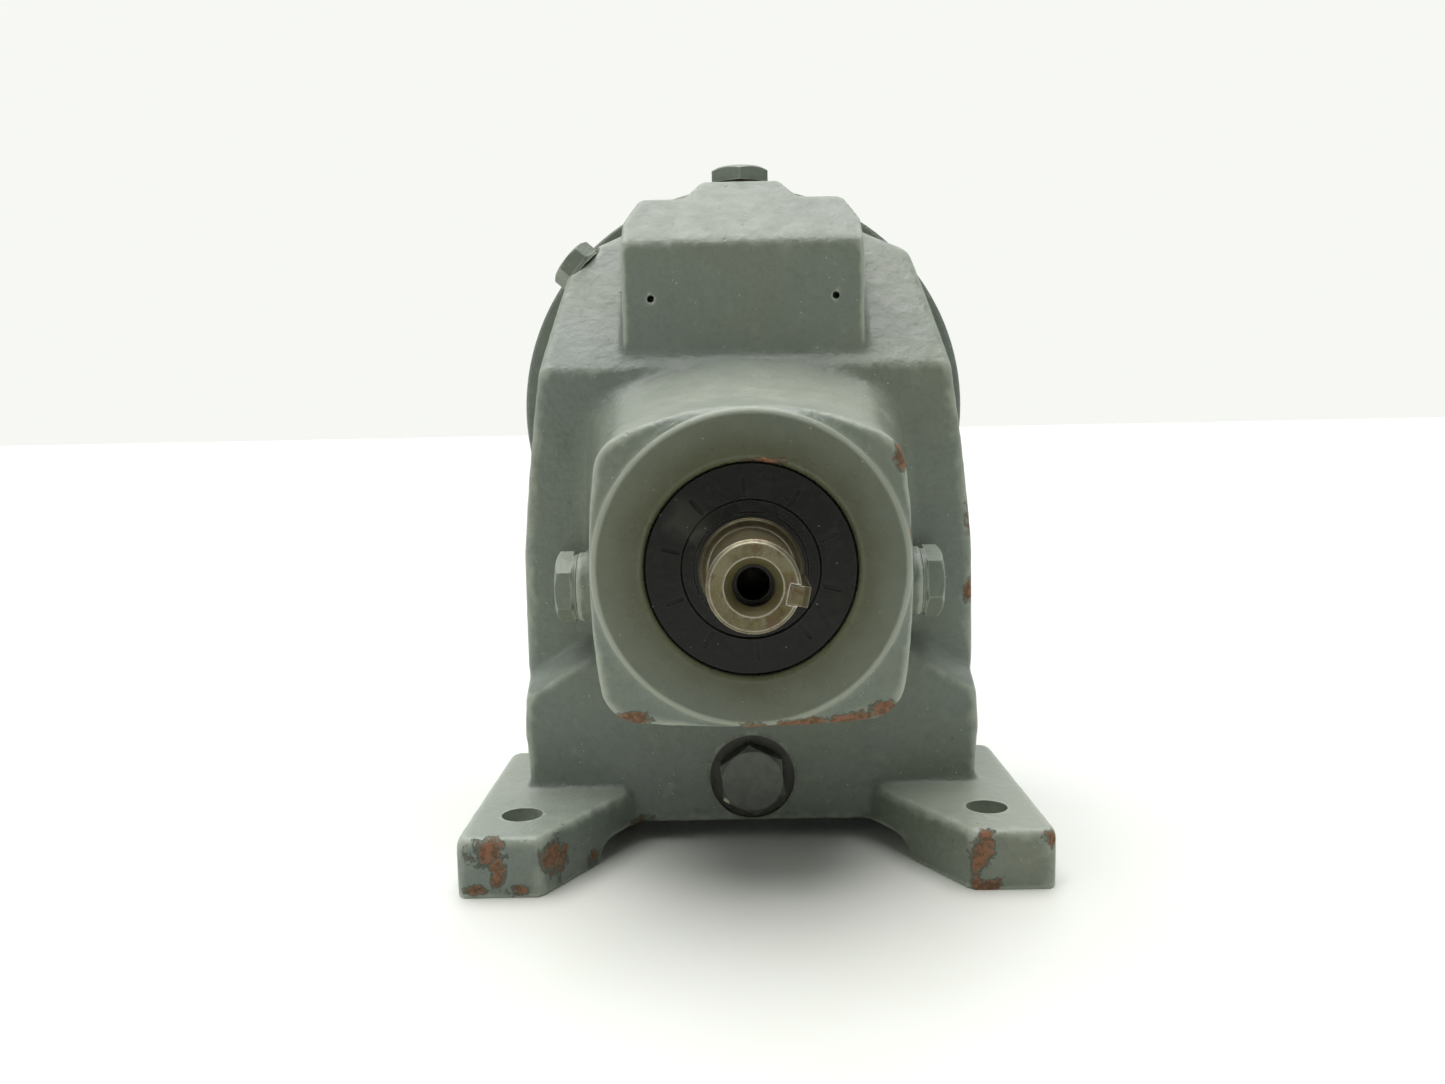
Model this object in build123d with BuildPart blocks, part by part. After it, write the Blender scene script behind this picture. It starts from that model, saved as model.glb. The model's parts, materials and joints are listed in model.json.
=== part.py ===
"""Foot-mounted two-stage parallel-shaft gear reducer, built as an assembly of separate pieces.

Row frame: X to the right, Y from the output end to the input end, Z up, in millimetres.
The origin is the centre of the foot bolt pattern on the base plane.
"""
from build123d import *
import os
from math import acos, cos, pi, radians, sin, tan

# ---------------------------------------------------------------- driving dimensions
OUTPUT_Z = 115.0            # output axis height above the base
INPUT_Z = 170.0             # input axis height
MID_Z = 215.0               # intermediate axis height

FOOT_SPACING_X = 171.0      # foot hole spacing, side to side
FOOT_SPACING_Y = 61.0       # foot hole spacing, front to back
FOOT_HOLE_R = 7.5
FOOT_HALF_WIDTH = 105.2
FOOT_HALF_DEPTH = 55.5
FOOT_THICKNESS = 21.6
FOOT_FRONT_INNER_X = 75.0   # inner end of a foot's square front edge
FOOT_ROOT_X = 45.0          # where its diagonal edge meets the lower block
FOOT_PAD_INNER_X = 58.0     # inner edge of the machined pad under each foot
FOOT_CORNER_R = 4.5
FOOT_RIM_R = 3.0
BASE_RELIEF = 7.2           # height of the underside between the feet
BASE_RELIEF_R = 5.0

BOSS_FACE_Y = -62.5         # turned face around the output seal
BOSS_PLANE_Y = -59.5        # cast plane that the turned face stands on
TURNED_R = 54.0             # radius of the turned face
TURNED_RIM_R = 2.4
LOWER_FRONT_Y = -1.5        # front of the lower block
CASE_FRONT_Y = 12.5         # front of the upper case
CASE_REAR_Y = 81.0          # joint face towards the rear cover
PAD_FRONT_Y = 17.5          # front of the nameplate pad
GASKET_T = 0.5
FLANGE_GASKET_RADII = (28.0, 70.0)
GASKET_CLEARANCE = 0.3      # around screws and dowels
COVER_FRONT_Y = CASE_REAR_Y + GASKET_T
COVER_REAR_Y = 91.0
FLANGE_FRONT_Y = COVER_REAR_Y + GASKET_T
FLANGE_T = 12.0
FLANGE_REAR_Y = FLANGE_FRONT_Y + FLANGE_T
FLANGE_R = 100.0
FLANGE_BOLT_R = 5.0         # tapped M10 holes for a motor lantern
FLANGE_PCD = 165.0
SPIGOT_R = 65.0
SPIGOT_H = 3.5
HUB_REAR_Y = 117.0          # rear of the input seal hub
HUB_R = 33.0
RIM_R = 2.0                 # rounding of the turned rims of the flange and its hub

# sections of the neck: depth, half-width, height above and below the axis, corner radius
NECK_SECTIONS = [
    (BOSS_PLANE_Y, 55, 55, 55, 14),
    (-20.0, 57, 60, 57, 17),
    (CASE_FRONT_Y + 2, 64.5, 73, 62, 22),
]
NECK_TOP_CORNER = (3.5, 13.5)   # how far the bowed sides draw in at the upper corners
NECK_LOW_CORNER = (4.5, 3.0)    # and at the lower ones
NECK_RIM_R = 2.6

CASE_HALF_WIDTH = 89.5
CASE_SUMP_HALF_WIDTH = 70.0     # the sump is narrower, to clear the rear foot bolts
CASE_SUMP_Z = 44.0
CASE_WAIST_Z = 112.0            # the sides bow inwards above this height
CASE_SIDE = (83.2, 172.0)       # a point on the bowed side
CASE_SHOULDER = (72.5, 236.0)   # upper side corner of the case
CASE_RIDGE = (50.0, 248.0)      # where the case runs into the nameplate dormer
CASE_SLOPE_Z = 185.7            # the front leans back at 45 degrees above this height
CASE_RIM_R = 4.0
CASE_SHOULDER_R = 8.0
CASE_WAIST_R = 40.0
CASE_SUMP_R = 8.0
CASE_BOTTOM_R = 6.0
WALL = 9.0
LOWER_HALF_WIDTH = 89.0         # the lower block between the feet and the neck
LOWER_TOP_Z = 74.0
LOWER_LEDGE_RISE = 9.5          # its top rises by this much from front to back
LOWER_LEDGE_X = (62.0, 88.5)    # inner and outer ends of its sloping ledges
LOWER_LEDGE_DROP = 16.5
LOWER_RIM_R = 3.0
NECK_BORE_R = 43.0              # room behind the output bearing
NECK_BORE_FRONT_Y = -31.0
OUTPUT_PASSAGE_R = 31.0         # opening in front of the bearing's outer ring

DORMER_HALF_WIDTH = 48.0
DORMER_BOTTOM_Z = 190.6
DORMER_EAVE_Z = 235.0
DORMER_CREST_Z = 256.4
DORMER_CORNER = (6.0, 12.0)     # width and height of the chamfer along each side of the crest
DORMER_R = 3.5
VENT_BOSS_HALF_WIDTHS = (24.0, 16.5)
VENT_BOSS_Z = 265.2
ROOF_ANGLE = 38.0
NAMEPLATE_PIN_R = 1.45
NAMEPLATE_PIN_SPACING = 73.0
NAMEPLATE_PIN_Z = 213.0

SHAFT_R = 14.2875           # 1 1/8 inch shaft end
SHAFT_END_Y = -105.5
SHAFT_SHOULDER_Y = -64.9
JOURNAL_R = 17.5
KEY_W = 6.35                # 1/4 inch square key
KEY_LENGTH = 32.0
KEY_BOTTOM = 10.6
KEY_ANGLE = -12.0           # the key's direction about the shaft, from +X
KEY_CHAMFER = 0.35
SHAFT_CHAMFER = 1.0
JOURNAL_CHAMFER = 0.8

SEAL_R = 36.0
SEAL_FRONT_Y = -62.0
BORE_CHAMFER = 1.0          # at the mouth of the seal's bore
RUN_GAP = 0.1               # clearance between a seal lip and its shaft
INPUT_SHAFT_R = 9.5
INPUT_SEAL_R = 17.5
INPUT_SEAL_T = 7.0
# sections of the seals: depth behind the outer face, and radius
OUTPUT_SEAL_SECTION = [
    (0.0, 23.7),
    (0.0, 35.2),
    (0.8, 35.95),
    (7.0, 35.95),
    (7.0, 33.0),
    (2.6, 33.0),
    (2.6, 22.0),
    (6.0, 20.5),
    (6.0, 18.4),
    (4.6, JOURNAL_R + RUN_GAP),
    (3.0, 18.3),
    (-0.2, JOURNAL_R + RUN_GAP),
    (-0.2, 18.9),
    (0.9, 19.4),
    (0.9, 23.0),
]
INPUT_SEAL_SECTION = [
    (0.5, 13.0),
    (0.5, 16.8),
    (1.2, 17.45),
    (7.0, 17.45),
    (7.0, 15.5),
    (2.5, 15.5),
    (2.5, 12.6),
    (6.2, 11.6),
    (6.2, 10.2),
    (4.4, INPUT_SHAFT_R + RUN_GAP),
    (3.0, 10.1),
    (0.3, INPUT_SHAFT_R + RUN_GAP),
    (0.3, 10.4),
    (1.2, 10.8),
    (1.2, 12.5),
]
SEAL_NOTCHES = 10
SEAL_NOTCH_W = 1.65
SEAL_NOTCH_DEPTH = 0.5
SEAL_NOTCH_RADII = (24.3, 31.0)
SEAL_NOTCH_ANGLE = 22.0
INPUT_PASSAGE_R = 14.0      # opening between the input bearing and its seal

STAGE2_MODULE = 2.0
STAGE2_PINION_TEETH = 25
STAGE2_WHEEL_TEETH = 75
STAGE2_FRONT_Y = 38.0
STAGE2_REAR_Y = 60.0
STAGE1_MODULE = 1.5
STAGE1_PINION_TEETH = 15
STAGE1_WHEEL_TEETH = 45
STAGE1_FRONT_Y = 63.0
STAGE1_REAR_Y = 74.0
GEAR_SEAT_R = 19.0
GEAR_COLLAR = (23.0, 8.0)       # radius and length of the collar in front of the wheel
BEARING_COLLAR = (21.0, 4.0)    # and of the one behind the front bearing
SPACER_SEAT_R = 15.0
SPACER_R = 16.8
SPACER_FLANGE = (24.0, 4.0)     # radius and length of the spacer's end against the wheel
KEYWAY_GAP = 0.1                # room above the keys in the wheels
GEAR_WEB_RADII = (30.0, 64.0)   # the wheel is thinner between its hub and its rim
GEAR_WEB_DEPTH = 6.0
GEAR_HOLE_R = 9.0
PINION_ROOM_R = 29.5        # room in the housing around the second-stage pinion
MID_WHEEL_ROOM_R = 37.5     # and around the first-stage wheel
BACKLASH = 0.16             # thinning of each tooth at the pitch circle
PRESSURE_ANGLE = 20.0

GEAR_KEY_W = 10.0
GEAR_KEY_BOTTOM = 14.2
GEAR_KEY_TOP = 22.2
SPACER_REAR_Y = 72.0
SHAFT_END_GAP = 0.4         # clearance between a shaft's end and the bottom of its pocket
CENTRE_SINK_R = 9.0         # centre hole in the output shaft's end, for an M12 thread
CENTRE_SINK_DEPTH = 4.4
CENTRE_MOUTH_R = 6.5
CENTRE_THREAD_Y = SHAFT_END_Y + 8.0
CENTRE_THREAD_R = 5.1
CENTRE_THREAD_L = 20.0

MID_PINION_FRONT_Y = 37.0
MID_PINION_REAR_Y = 61.0
MID_SEAT_R = 12.0
MID_FRONT_COLLAR_R = 11.5
MID_REAR_COLLAR_R = 15.0
MID_SEAT_L = 13.0
MID_CIRCLIP_T = 1.6
MID_CIRCLIP_R = 15.0
MID_CIRCLIP_GROOVE_DEPTH = 1.0
MID_CIRCLIP_OPENING = (7.0, 8.0)
MID_KEY_W = 6.0
MID_KEY_BOTTOM = 8.5
MID_KEY_TOP = 14.5

INPUT_PINION_FRONT_Y = 62.0
INPUT_PINION_REAR_Y = 75.0
INPUT_FRONT_COLLAR = (11.0, 2.0)    # radius and length of the collars before the bearings
INPUT_COLLAR = (12.5, 5.0)
COVER_PASSAGE_R = 16.0          # opening in the cover around the input shaft
INPUT_CENTRE = (3.5, 5.0)       # radius and depth of the centre in the input shaft's end
INPUT_SHAFT_END_Y = HUB_REAR_Y + 40.0
INPUT_KEY_W = 6.0
INPUT_KEY_LENGTH = 32.0
INPUT_KEY_BOTTOM = 6.0
INPUT_KEY_FRONT_Y = 121.0

# hexagon across flats, radius of the flat on top of the head, radius of the washer
PLUG = (24.0, 11.6, 12.5)
VENT_PLUG = (24.0, 10.6, 12.5)
SHOULDER_PLUG = (19.0, 9.2, 10.2)
PLUG_HEAD_T = 6.5
PLUG_CORNER_ANGLE = 30.0    # slope of the turned corners
PLUG_THREAD_R = 7.0
PLUG_THREAD_L = 12.0
PLUG_WASHER_T = 1.6
THREAD_GAP = 0.05
DRAIN_Z = 25.5
DRAIN_SPOT_R = 16.6
SHOULDER_SPOT_R = 12.0
SPOT_CUT_L = 12.0
DRAIN_SPOT_DEPTH = 2.0
LEVEL_Y = -1.5
LEVEL_Z = 102.0
LEVEL_PAD_X = 65.5
LEVEL_PAD_R = 13.3
LEVEL_PAD_ROOT_X = 50.0
VENT_Y = 72.5
SHOULDER_PLUG_SEAT = (-68.5, 67.5, 230.3)
SHOULDER_PLUG_ANGLE = 139.7     # direction of its axis in the X-Z plane

# bearings: bore radius, outside radius, width, balls, ball radius
BEARING_6207 = (17.5, 36.0, 17.0, 9, 5.5)
BEARING_6205 = (12.5, 26.0, 15.0, 9, 3.9)
BEARING_6203 = (8.5, 20.0, 12.0, 8, 3.3)
BEARING_6204 = (10.0, 23.5, 14.0, 8, 3.9)
BALL_GAP = 0.15
BEARING_HUB_WALL = 6.0
BEARING_LAND = 0.55         # half the gap between the rings, as a share of the ball radius
BEARING_CHAMFER = 0.6
CAGE_T = 1.4
CAGE_WIDTH = 1.2            # as a share of the ball radius
CIRCLIP_REAR_Y = -52.0
CIRCLIP_T = 2.5
CIRCLIP_GROOVE_DEPTH = 1.5
CIRCLIP_GAP = 0.1
CIRCLIP_INNER_R = 32.5
CIRCLIP_OPENING = 12.0

OUTPUT_FRONT_BEARING_Y = -35.0  # rear face of each bearing
OUTPUT_REAR_BEARING_Y = 87.0
MID_FRONT_BEARING_Y = 34.5
MID_REAR_BEARING_Y = 88.0
INPUT_FRONT_BEARING_Y = 89.0
INPUT_REAR_BEARING_Y = 108.0

COVER_SCREWS = [(60, 20), (79, 74), (74, 178), (42, 243)]   # right-hand half, mirrored
COVER_DOWEL = (84, 96)
COVER_SCREW_R = 3.0
COVER_SCREW_HEAD_R = 5.0
COVER_SCREW_HEAD_T = 6.0
COVER_SCREW_SOCKET_AF = 5.0
COVER_SCREW_SINK = 0.5          # the heads lie this much below the cover's face
COVER_SCREW_L = 16.0
SCREW_BOSS_R = 8.0
SCREW_BOSS_L = 21.0
DOWEL_R = 3.0
DOWEL_L = 14.0
FLANGE_SCREW_PCD = 104.0
FLANGE_SCREW_R = 4.0
FLANGE_SCREW_AF = 13.0
FLANGE_SCREW_HEAD_T = 5.3
FLANGE_SCREW_L = 20.0
FLANGE_SCREW_CHAMFER = 0.5
FLANGE_SEAT_R = 9.5             # spot faces for the flange screws
FLANGE_SEAT_Y = FLANGE_REAR_Y - 0.5
BORE_CUT = 60.0                 # length of a cylinder that cuts right through a piece

os.makedirs("parts", exist_ok=True)


# ---------------------------------------------------------------- helpers
def facing(y):
    """A plane across the shafts at depth y, local x = X, local y = Z, facing the output end."""
    return Plane.XZ.offset(-y)


def shaft_plane(axis_z, y, x=0.0):
    """A plane across a shaft at depth y, its origin on the shaft's axis, facing the output end."""
    return Plane(origin=(x, y, axis_z), x_dir=(1, 0, 0), z_dir=(0, -1, 0))


def save(part, label):
    """Label a finished piece and write it to its own STEP file."""
    part.label = label
    export_step(part, f"parts/{label}.step")


def drum(axis_z, rear_y, length, radius, mode=Mode.ADD, x=0.0):
    """A cylinder along Y in the current part, from rear_y towards the output end."""
    with Locations(shaft_plane(axis_z, rear_y, x)):
        Cylinder(radius, length, align=(Align.CENTER, Align.CENTER, Align.MIN), mode=mode)


def mirrored(points):
    """The points and their mirror images across X = 0."""
    return [(side * x, z) for x, z in points for side in (1, -1)]


# ---------------------------------------------------------------- outlines
def case_outline():
    """The outline of the gear case across the shafts."""
    with BuildSketch() as outline:
        with BuildLine():
            Polyline(
                (0, BASE_RELIEF),
                (CASE_SUMP_HALF_WIDTH - 2, BASE_RELIEF),
                (CASE_SUMP_HALF_WIDTH, CASE_SUMP_Z),
                (CASE_HALF_WIDTH, CASE_SUMP_Z + CASE_HALF_WIDTH - CASE_SUMP_HALF_WIDTH),
                (CASE_HALF_WIDTH, CASE_WAIST_Z),
            )
            ThreePointArc((CASE_HALF_WIDTH, CASE_WAIST_Z), CASE_SIDE, CASE_SHOULDER)
            Polyline(CASE_SHOULDER, CASE_RIDGE, (0, CASE_RIDGE[1]))
            mirror(about=Plane.YZ)
        make_face()
        fillet(outline.vertices().filter_by(lambda v: abs(v.Y - CASE_SHOULDER[1]) < 1), CASE_SHOULDER_R)
        fillet(outline.vertices().filter_by(lambda v: abs(v.Y - CASE_WAIST_Z) < 1), CASE_WAIST_R)
        sump = outline.vertices().filter_by(lambda v: BASE_RELIEF + 1 < v.Y < CASE_WAIST_Z - 30)
        fillet(sump, CASE_SUMP_R)
        fillet(outline.vertices().filter_by(lambda v: abs(v.Y - BASE_RELIEF) < 1), CASE_BOTTOM_R)
    return outline.sketch


def neck_outline(half_width, rise, drop, corner):
    """A squarish outline with bowed sides, centred on the output axis."""
    top_corner = (half_width - NECK_TOP_CORNER[0], rise - NECK_TOP_CORNER[1])
    low_corner = (half_width - NECK_LOW_CORNER[0], -drop + NECK_LOW_CORNER[1])
    with BuildSketch() as outline:
        with BuildLine():
            ThreePointArc((-top_corner[0], top_corner[1]), (0, rise), top_corner)
            ThreePointArc(top_corner, (half_width, 0), low_corner)
            ThreePointArc(low_corner, (0, -drop), (-low_corner[0], low_corner[1]))
            ThreePointArc(
                (-low_corner[0], low_corner[1]), (-half_width, 0), (-top_corner[0], top_corner[1])
            )
        make_face()
        fillet(outline.vertices(), corner)
    return outline.sketch


def dormer_outline():
    """The section across the roof over the intermediate shaft, with the vent boss on its crest."""
    with BuildSketch() as outline:
        with BuildLine():
            Polyline(
                (0, DORMER_BOTTOM_Z - 10),
                (DORMER_HALF_WIDTH, DORMER_BOTTOM_Z - 10),
                (DORMER_HALF_WIDTH, DORMER_CREST_Z - DORMER_CORNER[1]),
                (DORMER_HALF_WIDTH - DORMER_CORNER[0], DORMER_CREST_Z),
                (VENT_BOSS_HALF_WIDTHS[0], DORMER_CREST_Z),
                (VENT_BOSS_HALF_WIDTHS[1], VENT_BOSS_Z),
                (0, VENT_BOSS_Z),
            )
            mirror(about=Plane.YZ)
        make_face()
        upper = outline.vertices().filter_by(lambda v: v.Y > DORMER_EAVE_Z and abs(v.X) > 1)
        fillet(upper, DORMER_R)
    return outline.sketch


def joint_outline():
    """The outline of the joint between the case and its rear cover: the case with the dormer."""
    with BuildSketch() as outline:
        add(case_outline())
        add(dormer_outline())
    return outline.sketch


# ---------------------------------------------------------------- housing
front_slope = Plane(origin=(0, CASE_FRONT_Y, CASE_SLOPE_Z), x_dir=(1, 0, 0), z_dir=(0, -1, 1))
roof_slope = Plane(
    origin=(0, PAD_FRONT_Y, DORMER_EAVE_Z),
    x_dir=(1, 0, 0),
    z_dir=(0, -sin(radians(ROOF_ANGLE)), cos(radians(ROOF_ANGLE))),
)

left_level = Plane(origin=(-LEVEL_PAD_X, LEVEL_Y, LEVEL_Z), x_dir=(0, -1, 0), z_dir=(-1, 0, 0))
right_level = Plane(origin=(LEVEL_PAD_X, LEVEL_Y, LEVEL_Z), x_dir=(0, 1, 0), z_dir=(1, 0, 0))
drain_seat = shaft_plane(DRAIN_Z, LOWER_FRONT_Y + DRAIN_SPOT_DEPTH)
vent_seat = Plane(origin=(0, VENT_Y, VENT_BOSS_Z), x_dir=(1, 0, 0), z_dir=(0, 0, 1))
shoulder_seat = Plane(
    origin=SHOULDER_PLUG_SEAT,
    x_dir=(0, 1, 0),
    z_dir=(cos(radians(SHOULDER_PLUG_ANGLE)), 0, sin(radians(SHOULDER_PLUG_ANGLE))),
)

with BuildPart() as case:
    with BuildSketch(facing(CASE_REAR_Y)):
        add(case_outline())
    extrude(amount=CASE_REAR_Y - CASE_FRONT_Y)
    split(bisect_by=front_slope, keep=Keep.BOTTOM)
    front_faces = case.faces().filter_by(lambda f: f.normal_at().Y < -0.5)
    fillet(front_faces.edges(), CASE_RIM_R)

with BuildPart() as dormer:
    with BuildSketch(facing(CASE_REAR_Y)):
        add(dormer_outline())
    extrude(amount=CASE_REAR_Y - PAD_FRONT_Y)
    split(bisect_by=roof_slope, keep=Keep.BOTTOM)
    pad_edges = dormer.edges().filter_by(lambda e: abs(e.center().Y - PAD_FRONT_Y) < 0.1)
    fillet(pad_edges.filter_by(Axis.X).sort_by(Axis.Z)[-1], CASE_RIM_R)

with BuildPart() as lower_block:
    for section_y, rise in ((CASE_FRONT_Y + 3, LOWER_LEDGE_RISE), (LOWER_FRONT_Y, 0)):
        top_z = LOWER_TOP_Z + rise
        with BuildSketch(facing(section_y)):
            with BuildLine():
                Polyline(
                    (0, BASE_RELIEF),
                    (LOWER_HALF_WIDTH - 2.5, BASE_RELIEF),
                    (LOWER_HALF_WIDTH, CASE_SUMP_Z),
                    (LOWER_LEDGE_X[1], top_z - LOWER_LEDGE_DROP),
                    (LOWER_LEDGE_X[0], top_z),
                    (0, top_z),
                )
                mirror(about=Plane.YZ)
            make_face()
    loft(ruled=True)
    fillet(lower_block.faces().sort_by(Axis.Y)[0].edges(), LOWER_RIM_R)

with BuildPart() as neck:
    for section_y, half_width, rise, drop, corner in NECK_SECTIONS:
        with BuildSketch(shaft_plane(OUTPUT_Z, section_y)):
            add(neck_outline(half_width, rise, drop, corner))
    loft()
    fillet(neck.faces().sort_by(Axis.Y)[0].edges(), NECK_RIM_R)

with BuildPart() as feet:
    for side in (1, -1):
        with BuildSketch() as foot_plan:
            with BuildLine():
                Polyline(
                    (side * FOOT_ROOT_X, LOWER_FRONT_Y + 1),
                    (side * FOOT_FRONT_INNER_X, -FOOT_HALF_DEPTH),
                    (side * FOOT_HALF_WIDTH, -FOOT_HALF_DEPTH),
                    (side * FOOT_HALF_WIDTH, FOOT_HALF_DEPTH),
                    (side * FOOT_ROOT_X, FOOT_HALF_DEPTH),
                    close=True,
                )
            make_face()
            outer = foot_plan.vertices().filter_by(lambda v: abs(v.X) > FOOT_ROOT_X + 1)
            fillet(outer, FOOT_CORNER_R)
        extrude(amount=FOOT_THICKNESS)
    fillet(feet.faces().filter_by(Axis.Z).sort_by(Axis.Z)[-2:].edges(), FOOT_RIM_R)

with BuildPart() as cavity:
    with BuildSketch(facing(CASE_REAR_Y + 1)):
        add(case_outline())
        offset(amount=-WALL, mode=Mode.REPLACE)
    extrude(amount=CASE_REAR_Y + 1 - CASE_FRONT_Y - WALL)
    split(bisect_by=front_slope.offset(-WALL), keep=Keep.BOTTOM)
    # bosses for the cover screws stand in the corners of the gear space
    for x, z in mirrored(COVER_SCREWS):
        drum(z, CASE_REAR_Y + 1, SCREW_BOSS_L + 1, SCREW_BOSS_R, Mode.SUBTRACT, x)
    # room for the intermediate gears, the neck and the output bearing
    drum(MID_Z, STAGE2_REAR_Y + 2, STAGE2_REAR_Y - MID_FRONT_BEARING_Y + 2, PINION_ROOM_R)
    drum(MID_Z, CASE_REAR_Y + 1, CASE_REAR_Y - STAGE2_REAR_Y, MID_WHEEL_ROOM_R)
    drum(MID_Z, MID_FRONT_BEARING_Y, BEARING_6203[2], BEARING_6203[1])
    drum(OUTPUT_Z, CASE_FRONT_Y + WALL + 1, CASE_FRONT_Y + WALL + 1 - NECK_BORE_FRONT_Y, NECK_BORE_R)
    drum(OUTPUT_Z, CASE_FRONT_Y, CASE_FRONT_Y - BOSS_FACE_Y + 1, OUTPUT_PASSAGE_R)
    drum(OUTPUT_Z, OUTPUT_FRONT_BEARING_Y, OUTPUT_FRONT_BEARING_Y - BOSS_FACE_Y + 1, SEAL_R)

with BuildPart() as housing:
    add(case.part)
    add(dormer.part)
    add(lower_block.part)
    add(neck.part)
    add(feet.part)
    # turned face around the seal
    drum(OUTPUT_Z, BOSS_PLANE_Y + 4, BOSS_PLANE_Y + 4 - BOSS_FACE_Y, TURNED_R)
    rim = housing.edges().filter_by(GeomType.CIRCLE).sort_by(Axis.Y)[0]
    fillet(rim, TURNED_RIM_R)
    # pads for the level plugs
    for side in (1, -1):
        with Locations(Plane(origin=(side * LEVEL_PAD_ROOT_X, LEVEL_Y, LEVEL_Z), z_dir=(side, 0, 0))):
            Cylinder(
                LEVEL_PAD_R,
                LEVEL_PAD_X - LEVEL_PAD_ROOT_X,
                align=(Align.CENTER, Align.CENTER, Align.MIN),
            )
    add(cavity.part, mode=Mode.SUBTRACT)
    # mouth of the seal bore
    with Locations(shaft_plane(OUTPUT_Z, BOSS_FACE_Y)):
        Cone(SEAL_R - BORE_CHAMFER, SEAL_R + BORE_CHAMFER, 2 * BORE_CHAMFER, mode=Mode.SUBTRACT)
    # groove for the retaining ring in front of the bearing
    drum(OUTPUT_Z, CIRCLIP_REAR_Y, CIRCLIP_T, SEAL_R + CIRCLIP_GROOVE_DEPTH, Mode.SUBTRACT)
    # level, drain, shoulder and vent holes
    for plug_plane in (left_level, right_level, drain_seat, shoulder_seat, vent_seat):
        with Locations(plug_plane):
            Cylinder(PLUG_THREAD_R, BORE_CUT, mode=Mode.SUBTRACT)
    for seat, spot_r in ((drain_seat, DRAIN_SPOT_R), (shoulder_seat, SHOULDER_SPOT_R)):
        with Locations(seat):
            Cylinder(spot_r, SPOT_CUT_L, align=(Align.CENTER, Align.CENTER, Align.MIN), mode=Mode.SUBTRACT)
    # foot holes
    with GridLocations(FOOT_SPACING_X, FOOT_SPACING_Y, 2, 2):
        Cylinder(FOOT_HOLE_R, BORE_CUT, mode=Mode.SUBTRACT)
    # clearance under the body between the feet
    with BuildSketch(facing(100)):
        Rectangle(2 * FOOT_PAD_INNER_X, 2 * BASE_RELIEF)
        fillet(vertices(), BASE_RELIEF_R)
    extrude(amount=200, mode=Mode.SUBTRACT)
    # nameplate pin holes
    with Locations(shaft_plane(NAMEPLATE_PIN_Z, PAD_FRONT_Y)):
        with GridLocations(NAMEPLATE_PIN_SPACING, 1, 2, 1):
            Cylinder(NAMEPLATE_PIN_R, 12, mode=Mode.SUBTRACT)
    # cover screw and dowel holes
    for x, z in mirrored(COVER_SCREWS):
        drum(z, CASE_REAR_Y, COVER_SCREW_L, COVER_SCREW_R, Mode.SUBTRACT, x)
    for x, z in mirrored([COVER_DOWEL]):
        drum(z, CASE_REAR_Y, DOWEL_L / 2 + 1, DOWEL_R, Mode.SUBTRACT, x)

save(housing.part, "housing")


# ---------------------------------------------------------------- rear cover and input flange
def bearing_hub(axis_z, bearing, rear_y):
    """A hub on the cover's inner face around one bearing."""
    front_y = rear_y - bearing[2] - 0.5
    drum(axis_z, COVER_FRONT_Y + 1, COVER_FRONT_Y + 1 - front_y, bearing[1] + BEARING_HUB_WALL)


with BuildPart() as rear_cover:
    with BuildSketch(facing(COVER_REAR_Y)):
        add(joint_outline())
    extrude(amount=COVER_REAR_Y - COVER_FRONT_Y)
    bearing_hub(OUTPUT_Z, BEARING_6205, OUTPUT_REAR_BEARING_Y)
    bearing_hub(MID_Z, BEARING_6203, MID_REAR_BEARING_Y)
    bearing_hub(INPUT_Z, BEARING_6203, INPUT_FRONT_BEARING_Y)
    # bearing pockets, open towards the gears
    drum(OUTPUT_Z, OUTPUT_REAR_BEARING_Y, 30, BEARING_6205[1], Mode.SUBTRACT)
    drum(MID_Z, MID_REAR_BEARING_Y, 30, BEARING_6203[1], Mode.SUBTRACT)
    drum(INPUT_Z, INPUT_FRONT_BEARING_Y, 30, BEARING_6203[1], Mode.SUBTRACT)
    drum(INPUT_Z, COVER_REAR_Y, 10, COVER_PASSAGE_R, Mode.SUBTRACT)
    for x, z in mirrored(COVER_SCREWS):
        drum(z, COVER_REAR_Y, 20, COVER_SCREW_R, Mode.SUBTRACT, x)
        sink = COVER_SCREW_HEAD_T + COVER_SCREW_SINK
        drum(z, COVER_REAR_Y, sink, COVER_SCREW_HEAD_R + 0.5, Mode.SUBTRACT, x)
    for x, z in mirrored([COVER_DOWEL]):
        drum(z, COVER_FRONT_Y + DOWEL_L / 2, DOWEL_L, DOWEL_R, Mode.SUBTRACT, x)
    with Locations(shaft_plane(INPUT_Z, COVER_REAR_Y)):
        with PolarLocations(FLANGE_SCREW_PCD / 2, 4, start_angle=45):
            Cylinder(FLANGE_SCREW_R, 40, mode=Mode.SUBTRACT)
save(rear_cover.part, "rear_cover")

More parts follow.
